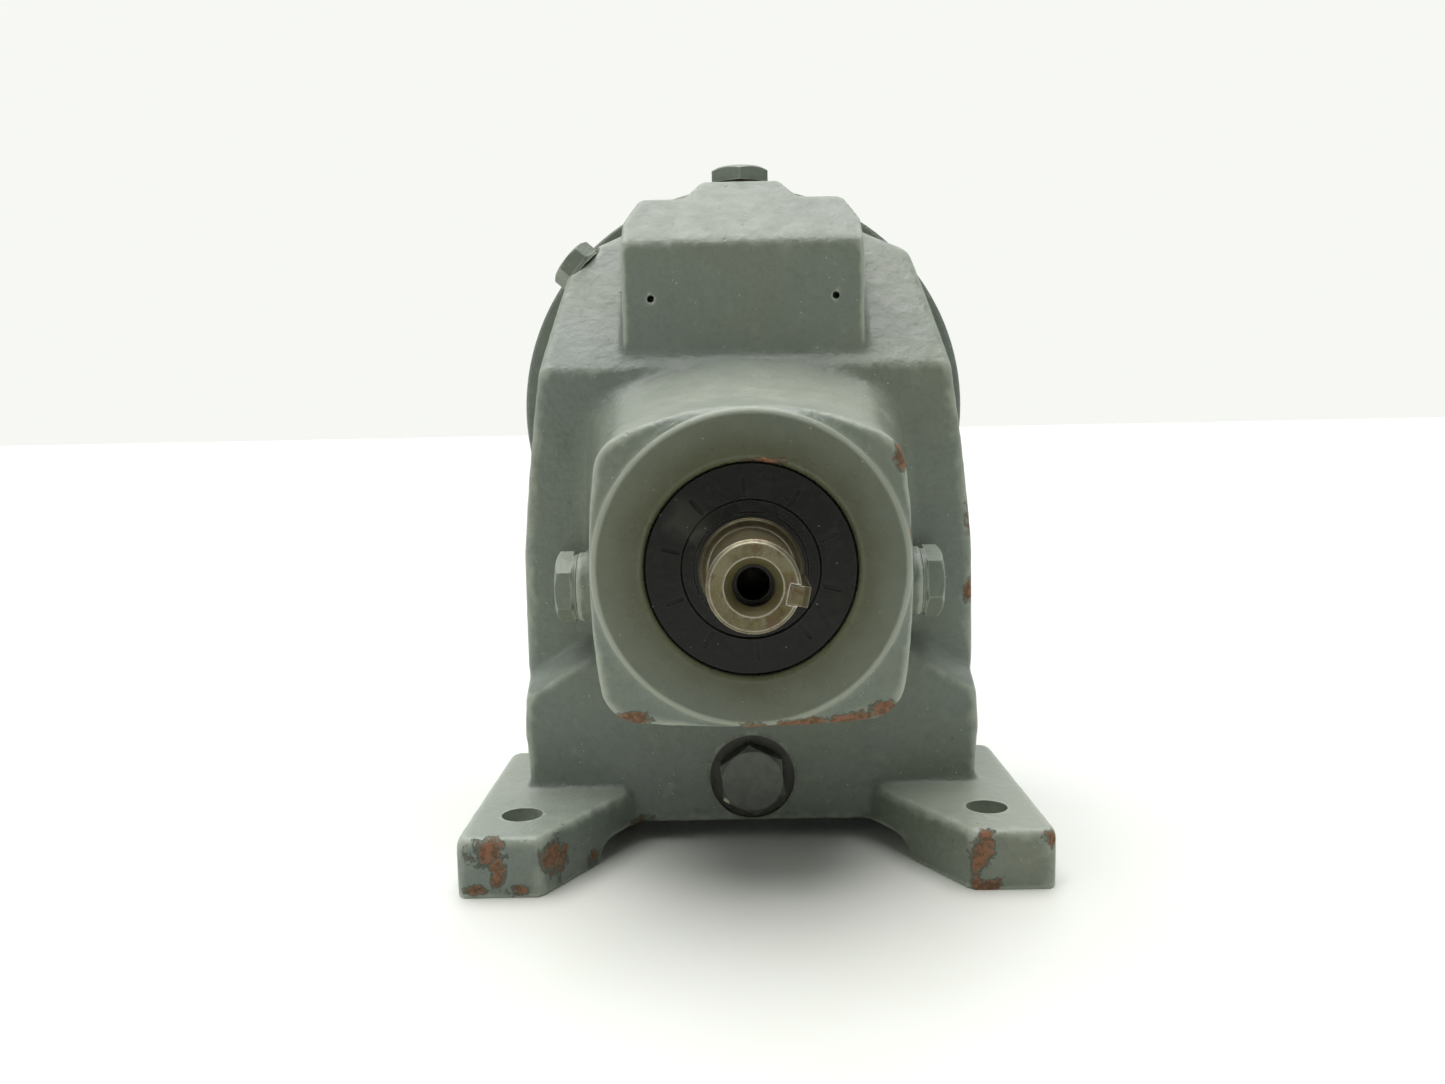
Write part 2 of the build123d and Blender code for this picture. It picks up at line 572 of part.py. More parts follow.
with BuildPart() as input_flange:
    drum(INPUT_Z, FLANGE_REAR_Y, FLANGE_T, FLANGE_R)
    fillet(input_flange.edges().filter_by(GeomType.CIRCLE), RIM_R)
    drum(INPUT_Z, FLANGE_REAR_Y + SPIGOT_H, SPIGOT_H + 1, SPIGOT_R)
    drum(INPUT_Z, HUB_REAR_Y, HUB_REAR_Y - FLANGE_REAR_Y, HUB_R)
    hub_rim = input_flange.edges().filter_by(GeomType.CIRCLE).group_by(Axis.Y)[-1]
    fillet(hub_rim, RIM_R)
    drum(INPUT_Z, INPUT_REAR_BEARING_Y, 40, BEARING_6204[1], Mode.SUBTRACT)
    drum(INPUT_Z, HUB_REAR_Y, 20, INPUT_PASSAGE_R, Mode.SUBTRACT)
    drum(INPUT_Z, HUB_REAR_Y, INPUT_SEAL_T, INPUT_SEAL_R, Mode.SUBTRACT)
    with Locations(shaft_plane(INPUT_Z, FLANGE_REAR_Y)):
        with PolarLocations(FLANGE_PCD / 2, 4, start_angle=45):
            Cylinder(FLANGE_BOLT_R, 40, mode=Mode.SUBTRACT)
        with PolarLocations(FLANGE_SCREW_PCD / 2, 4, start_angle=45):
            Cylinder(FLANGE_SCREW_R, 60, mode=Mode.SUBTRACT)
    # spot faces for the flange screws, inside the spigot
    with Locations(shaft_plane(INPUT_Z, FLANGE_SEAT_Y)):
        with PolarLocations(FLANGE_SCREW_PCD / 2, 4, start_angle=45):
            Cylinder(
                FLANGE_SEAT_R, 10, align=(Align.CENTER, Align.CENTER, Align.MAX), mode=Mode.SUBTRACT
            )
save(input_flange.part, "input_flange")

with BuildPart() as cover_gasket:
    with BuildSketch(facing(COVER_FRONT_Y)):
        add(joint_outline())
    extrude(amount=GASKET_T)
    with BuildSketch(facing(COVER_FRONT_Y)):
        add(case_outline())
        offset(amount=-WALL, mode=Mode.REPLACE)
    extrude(amount=GASKET_T, mode=Mode.SUBTRACT)
    drum(MID_Z, COVER_FRONT_Y, GASKET_T, MID_WHEEL_ROOM_R, Mode.SUBTRACT)
    for x, z in mirrored(COVER_SCREWS):
        drum(z, COVER_FRONT_Y, GASKET_T, SCREW_BOSS_R - 1, Mode.ADD, x)
    for x, z in mirrored(COVER_SCREWS):
        drum(z, COVER_FRONT_Y, GASKET_T, COVER_SCREW_R + GASKET_CLEARANCE, Mode.SUBTRACT, x)
    for x, z in mirrored([COVER_DOWEL]):
        drum(z, COVER_FRONT_Y, GASKET_T, DOWEL_R + GASKET_CLEARANCE, Mode.SUBTRACT, x)
save(cover_gasket.part, "cover_gasket")

with BuildPart() as flange_gasket:
    with BuildSketch(facing(FLANGE_FRONT_Y)):
        with Locations((0, INPUT_Z)):
            Circle(FLANGE_GASKET_RADII[1])
            Circle(FLANGE_GASKET_RADII[0], mode=Mode.SUBTRACT)
            with PolarLocations(FLANGE_SCREW_PCD / 2, 4, start_angle=45):
                Circle(FLANGE_SCREW_R + GASKET_CLEARANCE, mode=Mode.SUBTRACT)
    extrude(amount=GASKET_T)
save(flange_gasket.part, "flange_gasket")


# ---------------------------------------------------------------- screws and dowels
with BuildPart() as cover_screws:
    for x, z in mirrored(COVER_SCREWS):
        seat_y = COVER_REAR_Y - COVER_SCREW_HEAD_T - COVER_SCREW_SINK
        drum(z, seat_y + COVER_SCREW_HEAD_T, COVER_SCREW_HEAD_T, COVER_SCREW_HEAD_R, Mode.ADD, x)
        drum(z, seat_y, COVER_SCREW_L, COVER_SCREW_R - THREAD_GAP, Mode.ADD, x)
        with BuildSketch(facing(seat_y + COVER_SCREW_HEAD_T)):
            with Locations((x, z)):
                RegularPolygon(COVER_SCREW_SOCKET_AF / 2, 6, major_radius=False)
        extrude(amount=COVER_SCREW_HEAD_T / 2, mode=Mode.SUBTRACT)
save(cover_screws.part, "cover_screws")

with BuildPart() as flange_screws:
    with BuildSketch(facing(FLANGE_SEAT_Y)):
        with Locations((0, INPUT_Z)):
            with PolarLocations(FLANGE_SCREW_PCD / 2, 4, start_angle=45):
                RegularPolygon(FLANGE_SCREW_AF / 2, 6, major_radius=False)
    extrude(amount=-FLANGE_SCREW_HEAD_T)
    chamfer(flange_screws.edges().group_by(Axis.Y)[-1], FLANGE_SCREW_CHAMFER)
    with Locations(shaft_plane(INPUT_Z, FLANGE_SEAT_Y)):
        with PolarLocations(FLANGE_SCREW_PCD / 2, 4, start_angle=45):
            Cylinder(
                FLANGE_SCREW_R - THREAD_GAP,
                FLANGE_SCREW_L,
                align=(Align.CENTER, Align.CENTER, Align.MIN),
            )
save(flange_screws.part, "flange_screws")

with BuildPart() as dowel_pins:
    for x, z in mirrored([COVER_DOWEL]):
        drum(z, COVER_FRONT_Y + DOWEL_L / 2, DOWEL_L, DOWEL_R - 0.02, Mode.ADD, x)
save(dowel_pins.part, "dowel_pins")


# ---------------------------------------------------------------- bearings
def bearing(label, size, axis_z, rear_y):
    """A deep-groove ball bearing as three pieces: outer ring, balls in their cage, inner ring."""
    bore_r, outer_r, width, ball_count, ball_r = size
    pitch_r = (bore_r + outer_r) / 2
    land = BEARING_LAND * ball_r
    middle = shaft_plane(axis_z, rear_y - width / 2)

    with BuildPart(middle) as outer_ring:
        Cylinder(outer_r, width)
        Cylinder(pitch_r + land, width, mode=Mode.SUBTRACT)
        rims = outer_ring.edges().filter_by(GeomType.CIRCLE).filter_by(lambda e: e.radius > outer_r - 0.1)
        chamfer(rims, BEARING_CHAMFER)
        Torus(pitch_r, ball_r + BALL_GAP, mode=Mode.SUBTRACT)
    save(outer_ring.part, f"{label}_outer_ring")

    with BuildPart(middle) as inner_ring:
        Cylinder(pitch_r - land, width)
        Cylinder(bore_r, width, mode=Mode.SUBTRACT)
        Torus(pitch_r, ball_r + BALL_GAP, mode=Mode.SUBTRACT)
    save(inner_ring.part, f"{label}_inner_ring")

    with BuildPart(middle) as balls:
        Cylinder(pitch_r + CAGE_T / 2, CAGE_WIDTH * ball_r)
        Cylinder(pitch_r - CAGE_T / 2, CAGE_WIDTH * ball_r, mode=Mode.SUBTRACT)
        with PolarLocations(pitch_r, ball_count):
            Sphere(ball_r)
    save(balls.part, f"{label}_balls")


bearing("output_front", BEARING_6207, OUTPUT_Z, OUTPUT_FRONT_BEARING_Y)
bearing("output_rear", BEARING_6205, OUTPUT_Z, OUTPUT_REAR_BEARING_Y)
bearing("mid_front", BEARING_6203, MID_Z, MID_FRONT_BEARING_Y)
bearing("mid_rear", BEARING_6203, MID_Z, MID_REAR_BEARING_Y)
bearing("input_front", BEARING_6203, INPUT_Z, INPUT_FRONT_BEARING_Y)
bearing("input_rear", BEARING_6204, INPUT_Z, INPUT_REAR_BEARING_Y)

with BuildPart() as bearing_circlip:
    with BuildSketch(shaft_plane(OUTPUT_Z, CIRCLIP_REAR_Y)):
        Circle(SEAL_R + CIRCLIP_GROOVE_DEPTH - CIRCLIP_GAP)
        Circle(CIRCLIP_INNER_R, mode=Mode.SUBTRACT)
        with Locations((0, -SEAL_R)):
            Rectangle(CIRCLIP_OPENING, CIRCLIP_OPENING, mode=Mode.SUBTRACT)
    extrude(amount=CIRCLIP_T - 2 * CIRCLIP_GAP)
save(bearing_circlip.part, "bearing_circlip")


# ---------------------------------------------------------------- seals
def across(axis_z):
    """The vertical plane along the shafts, local x = Y, local y = height above one axis."""
    return Plane(origin=(0, 0, axis_z), x_dir=(0, 1, 0), z_dir=(1, 0, 0))


with BuildPart() as output_seal:
    with BuildSketch(across(OUTPUT_Z)):
        with BuildLine():
            Polyline([(SEAL_FRONT_Y + depth, radius) for depth, radius in OUTPUT_SEAL_SECTION], close=True)
        make_face()
    revolve(axis=Axis((0, 0, OUTPUT_Z), (0, 1, 0)))
    notch_middle = (SEAL_NOTCH_RADII[0] + SEAL_NOTCH_RADII[1]) / 2
    with BuildSketch(shaft_plane(OUTPUT_Z, SEAL_FRONT_Y)):
        with PolarLocations(notch_middle, SEAL_NOTCHES, start_angle=SEAL_NOTCH_ANGLE):
            SlotOverall(SEAL_NOTCH_RADII[1] - SEAL_NOTCH_RADII[0], SEAL_NOTCH_W)
    extrude(amount=-SEAL_NOTCH_DEPTH, mode=Mode.SUBTRACT)
save(output_seal.part, "output_seal")

with BuildPart() as input_seal:
    with BuildSketch(across(INPUT_Z)):
        with BuildLine():
            Polyline([(HUB_REAR_Y - depth, radius) for depth, radius in INPUT_SEAL_SECTION], close=True)
        make_face()
    revolve(axis=Axis((0, 0, INPUT_Z), (0, 1, 0)))
save(input_seal.part, "input_seal")


# ---------------------------------------------------------------- gears
def gear_outline(teeth, module, phase):
    """A closed involute outline, one tooth centred on the angle phase, in degrees."""
    pitch_r = teeth * module / 2
    base_r = pitch_r * cos(radians(PRESSURE_ANGLE))
    tip_r = pitch_r + module
    root_r = pitch_r - 1.25 * module
    involute = tan(radians(PRESSURE_ANGLE)) - radians(PRESSURE_ANGLE)
    half_tooth = (pi * module / 2 - BACKLASH) / 2 / pitch_r

    def flank_angle(radius):
        """Half the tooth's angular width at a radius."""
        if radius <= base_r:
            return half_tooth + involute
        pressure = acos(base_r / radius)
        return half_tooth + involute - (tan(pressure) - pressure)

    def at(radius, angle):
        return (radius * cos(angle), radius * sin(angle))

    start_r = max(base_r, root_r)
    radii = [start_r + (tip_r - start_r) * step / 4 for step in range(5)]
    step_angle = 2 * pi / teeth
    with BuildSketch() as outline:
        with BuildLine():
            for tooth in range(teeth):
                middle = radians(phase) + tooth * step_angle
                rising = [at(r, middle - flank_angle(r)) for r in radii]
                falling = [at(r, middle + flank_angle(r)) for r in reversed(radii)]
                next_rise = at(radii[0], middle + step_angle - flank_angle(radii[0]))
                root_start = at(root_r, middle + flank_angle(root_r))
                root_end = at(root_r, middle + step_angle - flank_angle(root_r))
                Spline(*rising)
                ThreePointArc(rising[-1], at(tip_r, middle), falling[0])
                Spline(*falling)
                if root_r < base_r:
                    Line(falling[-1], root_start)
                    ThreePointArc(root_start, at(root_r, middle + step_angle / 2), root_end)
                    Line(root_end, next_rise)
                else:
                    ThreePointArc(falling[-1], at(root_r, middle + step_angle / 2), next_rise)
        make_face()
    return outline.sketch


with BuildPart() as output_gear:
    with BuildSketch(shaft_plane(OUTPUT_Z, STAGE2_REAR_Y)):
        add(gear_outline(STAGE2_WHEEL_TEETH, STAGE2_MODULE, 90 + 180 / STAGE2_WHEEL_TEETH))
    extrude(amount=STAGE2_REAR_Y - STAGE2_FRONT_Y)
    # thin web between rim and hub, and four lightening holes
    for face_y, sign in ((STAGE2_FRONT_Y, -1), (STAGE2_REAR_Y, 1)):
        with BuildSketch(shaft_plane(OUTPUT_Z, face_y)):
            Circle(GEAR_WEB_RADII[1])
            Circle(GEAR_WEB_RADII[0], mode=Mode.SUBTRACT)
        extrude(amount=sign * GEAR_WEB_DEPTH, mode=Mode.SUBTRACT)
    with Locations(shaft_plane(OUTPUT_Z, STAGE2_REAR_Y)):
        with PolarLocations(sum(GEAR_WEB_RADII) / 2, 4):
            Cylinder(GEAR_HOLE_R, BORE_CUT, mode=Mode.SUBTRACT)
        Cylinder(GEAR_SEAT_R, BORE_CUT, mode=Mode.SUBTRACT)
    with BuildSketch(shaft_plane(OUTPUT_Z, STAGE2_REAR_Y)):
        with Locations((0, GEAR_SEAT_R)):
            Rectangle(GEAR_KEY_W, 2 * (GEAR_KEY_TOP - GEAR_SEAT_R + KEYWAY_GAP))
    extrude(amount=STAGE2_REAR_Y - STAGE2_FRONT_Y, mode=Mode.SUBTRACT)
save(output_gear.part, "output_gear")

with BuildPart() as mid_wheel:
    with BuildSketch(shaft_plane(MID_Z, STAGE1_REAR_Y)):
        add(gear_outline(STAGE1_WHEEL_TEETH, STAGE1_MODULE, -90 + 180 / STAGE1_WHEEL_TEETH))
    extrude(amount=STAGE1_REAR_Y - STAGE1_FRONT_Y)
    with Locations(shaft_plane(MID_Z, STAGE1_REAR_Y)):
        Cylinder(MID_SEAT_R, BORE_CUT, mode=Mode.SUBTRACT)
    with BuildSketch(shaft_plane(MID_Z, STAGE1_REAR_Y)):
        with Locations((0, MID_SEAT_R)):
            Rectangle(MID_KEY_W, 2 * (MID_KEY_TOP - MID_SEAT_R + KEYWAY_GAP))
    extrude(amount=STAGE1_REAR_Y - STAGE1_FRONT_Y, mode=Mode.SUBTRACT)
save(mid_wheel.part, "mid_wheel")


# ---------------------------------------------------------------- shafts and keys
def key_plane(axis_z, height, angle):
    """A plane over a shaft at a height along its radius, local x = Y, facing outwards."""
    out = Vector(cos(radians(angle)), 0, sin(radians(angle)))
    return Plane(origin=Vector(0, 0, axis_z) + out * height, x_dir=(0, 1, 0), z_dir=out)


def key_outline(front_y, rear_y, width, open_front):
    """A key seen from outside: round at the rear, and square at an open front end."""
    with BuildSketch() as outline:
        with Locations(((front_y + rear_y) / 2, 0)):
            Rectangle(rear_y - front_y, width)
        ends = outline.vertices()
        if open_front:
            ends = ends.sort_by(Axis.X)[-2:]
        fillet(ends, width / 2 - 0.01)
    return outline.sketch


with BuildPart() as output_shaft:
    drum(OUTPUT_Z, OUTPUT_REAR_BEARING_Y - SHAFT_END_GAP, 20, BEARING_6205[0])
    drum(OUTPUT_Z, SPACER_REAR_Y, SPACER_REAR_Y - STAGE2_REAR_Y, SPACER_SEAT_R)
    drum(OUTPUT_Z, STAGE2_REAR_Y, STAGE2_REAR_Y - OUTPUT_FRONT_BEARING_Y, GEAR_SEAT_R)
    drum(OUTPUT_Z, STAGE2_FRONT_Y, GEAR_COLLAR[1], GEAR_COLLAR[0])
    drum(OUTPUT_Z, OUTPUT_FRONT_BEARING_Y + BEARING_COLLAR[1], BEARING_COLLAR[1], BEARING_COLLAR[0])
    drum(OUTPUT_Z, OUTPUT_FRONT_BEARING_Y, OUTPUT_FRONT_BEARING_Y - SHAFT_SHOULDER_Y, JOURNAL_R)
    front_rim = output_shaft.edges().filter_by(GeomType.CIRCLE).sort_by(Axis.Y)[0]
    chamfer(front_rim, JOURNAL_CHAMFER)
    drum(OUTPUT_Z, SHAFT_SHOULDER_Y, SHAFT_SHOULDER_Y - SHAFT_END_Y, SHAFT_R)
    end_rims = output_shaft.edges().filter_by(GeomType.CIRCLE)
    chamfer(end_rims.filter_by(lambda e: abs(e.center().Y - SHAFT_END_Y) < 0.1), SHAFT_CHAMFER)
    chamfer(end_rims.filter_by(lambda e: e.center().Y > SPACER_REAR_Y + 1), SHAFT_CHAMFER)
    # centre hole: countersink, relief and thread
    with BuildSketch(across(OUTPUT_Z)):
        with BuildLine():
            Polyline(
                (SHAFT_END_Y, 0),
                (SHAFT_END_Y, CENTRE_SINK_R),
                (SHAFT_END_Y + CENTRE_SINK_DEPTH, CENTRE_MOUTH_R),
                (CENTRE_THREAD_Y, CENTRE_MOUTH_R),
                (CENTRE_THREAD_Y, CENTRE_THREAD_R),
                (CENTRE_THREAD_Y + CENTRE_THREAD_L, CENTRE_THREAD_R),
                (CENTRE_THREAD_Y + CENTRE_THREAD_L + 3, 0),
                close=True,
            )
        make_face()
    revolve(axis=Axis((0, 0, OUTPUT_Z), (0, 1, 0)), mode=Mode.SUBTRACT)
    with BuildSketch(key_plane(OUTPUT_Z, KEY_BOTTOM, KEY_ANGLE)):
        add(key_outline(SHAFT_END_Y - 1, SHAFT_END_Y + KEY_LENGTH, KEY_W, True))
    extrude(amount=KEY_W, mode=Mode.SUBTRACT)
    with BuildSketch(key_plane(OUTPUT_Z, GEAR_KEY_BOTTOM, 90)):
        add(key_outline(STAGE2_FRONT_Y + 1, STAGE2_REAR_Y - 1, GEAR_KEY_W, False))
    extrude(amount=10, mode=Mode.SUBTRACT)
save(output_shaft.part, "output_shaft")

with BuildPart() as output_key:
    with BuildSketch(key_plane(OUTPUT_Z, KEY_BOTTOM, KEY_ANGLE)):
        add(key_outline(SHAFT_END_Y, SHAFT_END_Y + KEY_LENGTH, KEY_W, True))
    extrude(amount=KEY_W)
    chamfer(output_key.faces().sort_by(Axis.Y)[0].edges(), KEY_CHAMFER)
save(output_key.part, "output_key")

with BuildPart() as output_gear_key:
    with BuildSketch(key_plane(OUTPUT_Z, GEAR_KEY_BOTTOM, 90)):
        add(key_outline(STAGE2_FRONT_Y + 1, STAGE2_REAR_Y - 1, GEAR_KEY_W, False))
    extrude(amount=GEAR_KEY_TOP - GEAR_KEY_BOTTOM)
save(output_gear_key.part, "output_gear_key")

with BuildPart() as output_spacer:
    drum(OUTPUT_Z, SPACER_REAR_Y, SPACER_REAR_Y - STAGE2_REAR_Y, SPACER_R)
    drum(OUTPUT_Z, STAGE2_REAR_Y + SPACER_FLANGE[1], SPACER_FLANGE[1], SPACER_FLANGE[0])
    drum(OUTPUT_Z, SPACER_REAR_Y, SPACER_REAR_Y - STAGE2_REAR_Y, SPACER_SEAT_R, Mode.SUBTRACT)
save(output_spacer.part, "output_spacer")

with BuildPart() as mid_shaft:
    with BuildSketch(shaft_plane(MID_Z, MID_PINION_REAR_Y)):
        add(gear_outline(STAGE2_PINION_TEETH, STAGE2_MODULE, -90))
    extrude(amount=MID_PINION_REAR_Y - MID_PINION_FRONT_Y)
    drum(MID_Z, MID_PINION_FRONT_Y, MID_PINION_FRONT_Y - MID_FRONT_BEARING_Y, MID_FRONT_COLLAR_R)
    drum(MID_Z, MID_FRONT_BEARING_Y, BEARING_6203[2] - SHAFT_END_GAP, BEARING_6203[0])
    drum(MID_Z, STAGE1_FRONT_Y, STAGE1_FRONT_Y - MID_PINION_REAR_Y, MID_REAR_COLLAR_R)
    drum(MID_Z, MID_REAR_BEARING_Y - BEARING_6203[2], MID_SEAT_L, MID_SEAT_R)
    drum(MID_Z, MID_REAR_BEARING_Y - SHAFT_END_GAP, BEARING_6203[2] - SHAFT_END_GAP, BEARING_6203[0])
    with BuildSketch(key_plane(MID_Z, MID_KEY_BOTTOM, 90)):
        add(key_outline(STAGE1_FRONT_Y + 0.5, STAGE1_REAR_Y - 0.5, MID_KEY_W, False))
    extrude(amount=8, mode=Mode.SUBTRACT)
    circlip_rear_y = STAGE1_REAR_Y + MID_CIRCLIP_T
    drum(MID_Z, circlip_rear_y, MID_CIRCLIP_T, MID_CIRCLIP_R, Mode.SUBTRACT)
    drum(MID_Z, circlip_rear_y, MID_CIRCLIP_T, MID_SEAT_R - MID_CIRCLIP_GROOVE_DEPTH)
save(mid_shaft.part, "mid_shaft")

with BuildPart() as mid_wheel_key:
    with BuildSketch(key_plane(MID_Z, MID_KEY_BOTTOM, 90)):
        add(key_outline(STAGE1_FRONT_Y + 0.5, STAGE1_REAR_Y - 0.5, MID_KEY_W, False))
    extrude(amount=MID_KEY_TOP - MID_KEY_BOTTOM)
save(mid_wheel_key.part, "mid_wheel_key")

with BuildPart() as mid_wheel_circlip:
    with BuildSketch(shaft_plane(MID_Z, STAGE1_REAR_Y + MID_CIRCLIP_T)):
        Circle(MID_CIRCLIP_R)
        Circle(MID_SEAT_R - MID_CIRCLIP_GROOVE_DEPTH + 0.05, mode=Mode.SUBTRACT)
        with Locations((0, -MID_CIRCLIP_R)):
            Rectangle(*MID_CIRCLIP_OPENING, mode=Mode.SUBTRACT)
    extrude(amount=MID_CIRCLIP_T)
save(mid_wheel_circlip.part, "mid_wheel_circlip")

with BuildPart() as input_shaft:
    with BuildSketch(shaft_plane(INPUT_Z, INPUT_PINION_REAR_Y)):
        add(gear_outline(STAGE1_PINION_TEETH, STAGE1_MODULE, 90))
    extrude(amount=INPUT_PINION_REAR_Y - INPUT_PINION_FRONT_Y)
    drum(INPUT_Z, INPUT_FRONT_BEARING_Y - BEARING_6203[2], INPUT_FRONT_COLLAR[1], INPUT_FRONT_COLLAR[0])
    drum(INPUT_Z, INPUT_FRONT_BEARING_Y, BEARING_6203[2], BEARING_6203[0])
    drum(INPUT_Z, INPUT_REAR_BEARING_Y - BEARING_6204[2], INPUT_COLLAR[1], INPUT_COLLAR[0])
    drum(INPUT_Z, INPUT_REAR_BEARING_Y, BEARING_6204[2], BEARING_6204[0])
    drum(INPUT_Z, INPUT_SHAFT_END_Y, INPUT_SHAFT_END_Y - INPUT_REAR_BEARING_Y, INPUT_SHAFT_R)
    chamfer(input_shaft.edges().filter_by(GeomType.CIRCLE).sort_by(Axis.Y)[-1], SHAFT_CHAMFER)
    with Locations(shaft_plane(INPUT_Z, INPUT_SHAFT_END_Y)):
        Cone(0.5, INPUT_CENTRE[0], INPUT_CENTRE[1], mode=Mode.SUBTRACT, rotation=(180, 0, 0))
    with BuildSketch(key_plane(INPUT_Z, INPUT_KEY_BOTTOM, 90)):
        add(key_outline(INPUT_KEY_FRONT_Y, INPUT_KEY_FRONT_Y + INPUT_KEY_LENGTH, INPUT_KEY_W, False))
    extrude(amount=8, mode=Mode.SUBTRACT)
save(input_shaft.part, "input_shaft")

with BuildPart() as input_key:
    with BuildSketch(key_plane(INPUT_Z, INPUT_KEY_BOTTOM, 90)):
        add(key_outline(INPUT_KEY_FRONT_Y, INPUT_KEY_FRONT_Y + INPUT_KEY_LENGTH, INPUT_KEY_W, False))
    extrude(amount=INPUT_KEY_W)
    chamfer(input_key.faces().sort_by(Axis.Z)[-1].edges(), KEY_CHAMFER)
save(input_key.part, "input_key")


# ---------------------------------------------------------------- plugs
def hex_plug(label, seat, turn, sizes):
    """A screwed plug with a hexagon head and the sealing washer under it."""
    across_flats, top_r, washer_r = sizes
    with BuildPart(seat) as washer:
        Cylinder(washer_r, PLUG_WASHER_T, align=(Align.CENTER, Align.CENTER, Align.MIN))
        Cylinder(PLUG_THREAD_R + THREAD_GAP, 10, mode=Mode.SUBTRACT)
    save(washer.part, f"{label}_washer")

    under_head = seat.offset(PLUG_WASHER_T)
    with BuildPart(under_head) as plug:
        with BuildSketch(under_head):
            RegularPolygon(across_flats / 2, 6, major_radius=False, rotation=turn)
        extrude(amount=PLUG_HEAD_T)
        # the head's corners are turned down to a cone
        Cone(
            top_r + PLUG_HEAD_T / tan(radians(PLUG_CORNER_ANGLE)),
            top_r,
            PLUG_HEAD_T,
            align=(Align.CENTER, Align.CENTER, Align.MIN),
            mode=Mode.INTERSECT,
        )
        Cylinder(
            PLUG_THREAD_R - THREAD_GAP,
            PLUG_THREAD_L,
            align=(Align.CENTER, Align.CENTER, Align.MAX),
        )
    save(plug.part, f"{label}_plug")


hex_plug("drain", drain_seat, 35, PLUG)
hex_plug("left_level", left_level, 90, PLUG)
hex_plug("right_level", right_level, 80, PLUG)
hex_plug("shoulder", shoulder_seat, 30, SHOULDER_PLUG)
hex_plug("vent", vent_seat, 90, VENT_PLUG)
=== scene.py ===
"""Looks for the foot-mounted gear reducer: cast and painted case, seals, steel, floor, light and camera.

Lengths are in metres. The row frame is the model's own: X right, Y from the output end to the
input end, Z up, with the floor at Z = 0.
"""

import json
import math

import bmesh
import bpy
import numpy as np
from mathutils import Matrix, Vector, noise


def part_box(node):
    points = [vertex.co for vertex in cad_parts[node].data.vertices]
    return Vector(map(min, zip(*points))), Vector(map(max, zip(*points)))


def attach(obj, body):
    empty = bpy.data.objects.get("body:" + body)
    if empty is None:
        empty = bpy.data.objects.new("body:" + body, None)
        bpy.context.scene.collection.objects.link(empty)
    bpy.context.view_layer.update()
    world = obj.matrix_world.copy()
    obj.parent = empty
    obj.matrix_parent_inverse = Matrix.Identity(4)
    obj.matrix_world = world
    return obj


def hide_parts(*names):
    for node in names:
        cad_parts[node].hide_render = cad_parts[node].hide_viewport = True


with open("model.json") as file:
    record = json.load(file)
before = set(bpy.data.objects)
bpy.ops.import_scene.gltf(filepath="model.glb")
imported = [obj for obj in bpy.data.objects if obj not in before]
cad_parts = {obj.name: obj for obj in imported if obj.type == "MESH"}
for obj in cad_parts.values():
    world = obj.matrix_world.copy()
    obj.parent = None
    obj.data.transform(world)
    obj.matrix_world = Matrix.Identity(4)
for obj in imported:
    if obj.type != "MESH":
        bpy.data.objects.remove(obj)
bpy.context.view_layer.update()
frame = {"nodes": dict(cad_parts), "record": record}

MM = 0.001

# each node's body and finish, and the object that is seen for it
BODY_OF = {node: body for body, nodes in frame["record"]["behaviour"]["bodies"].items() for node in nodes}
SLOT_OF = {part["node"]: part["material_slot"] for part in frame["record"]["subparts"]}
shown = dict(frame["nodes"])

# ---------------------------------------------------------------- places taken from the frame
housing_low, housing_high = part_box("housing")
seal_low, seal_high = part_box("output_seal")
washer_low, washer_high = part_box("drain_washer")
plug_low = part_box("drain_plug")[0]

OUTPUT_Z = (seal_low.z + seal_high.z) / 2
DRAIN_Z = (washer_low.z + washer_high.z) / 2
BOSS_Y = housing_low.y
JOINT_Y = housing_high.y
VENT_TOP = housing_high.z
SEAL_FACE_Y = seal_low.y
COVER_FRONT_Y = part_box("cover_gasket")[1].y
SEAL_CLEARANCE = 0.05 * MM
SEAL_R = (seal_high.x - seal_low.x) / 2 + SEAL_CLEARANCE
DRAIN_SPOT_DEPTH = 2.0 * MM
LOWER_FRONT_Y = washer_high.y - DRAIN_SPOT_DEPTH
TURNED_STEP = 3.0 * MM                  # how far the turned face stands in front of the cast skin
BOSS_PLANE_Y = BOSS_Y + TURNED_STEP

# ---------------------------------------------------------------- sizes of the shape
TURNED_R = 54.0 * MM                    # outer radius of the turned face around the seal
TURNED_RIM_R = 2.4 * MM
TURNED_ROOT_TAPER = 1.5 * MM
RING_DEPTH = 13.0 * MM
RIM_STEPS = 8
FACE_STEPS = 12
BORE_CHAMFER = 1.0 * MM
FOOT_HOLE_R = 7.5 * MM
FOOT_HOLES = [(x * 85.5 * MM, y * 30.5 * MM) for x in (-1, 1) for y in (-1, 1)]
FOOT_TOP = 21.6 * MM
PIN_HOLE_R = 1.45 * MM
PIN_HOLE_DEPTH = 10 * MM
PIN_HOLES = [(x * 36.5 * MM, 213.0 * MM) for x in (-1, 1)]
PLATE_Y = 17.5 * MM
DRAIN_SPOT_R = 16.6 * MM
DRAIN_CHIP = Vector((2.0, 1.0, 5.5)) * MM  # a chipped corner, from the plug's lowest left front point
LEVEL_SEAT = Vector((65.5, -1.5, 102.0)) * MM
SHOULDER_SEAT = Vector((-68.5, 67.5, 232.5)) * MM

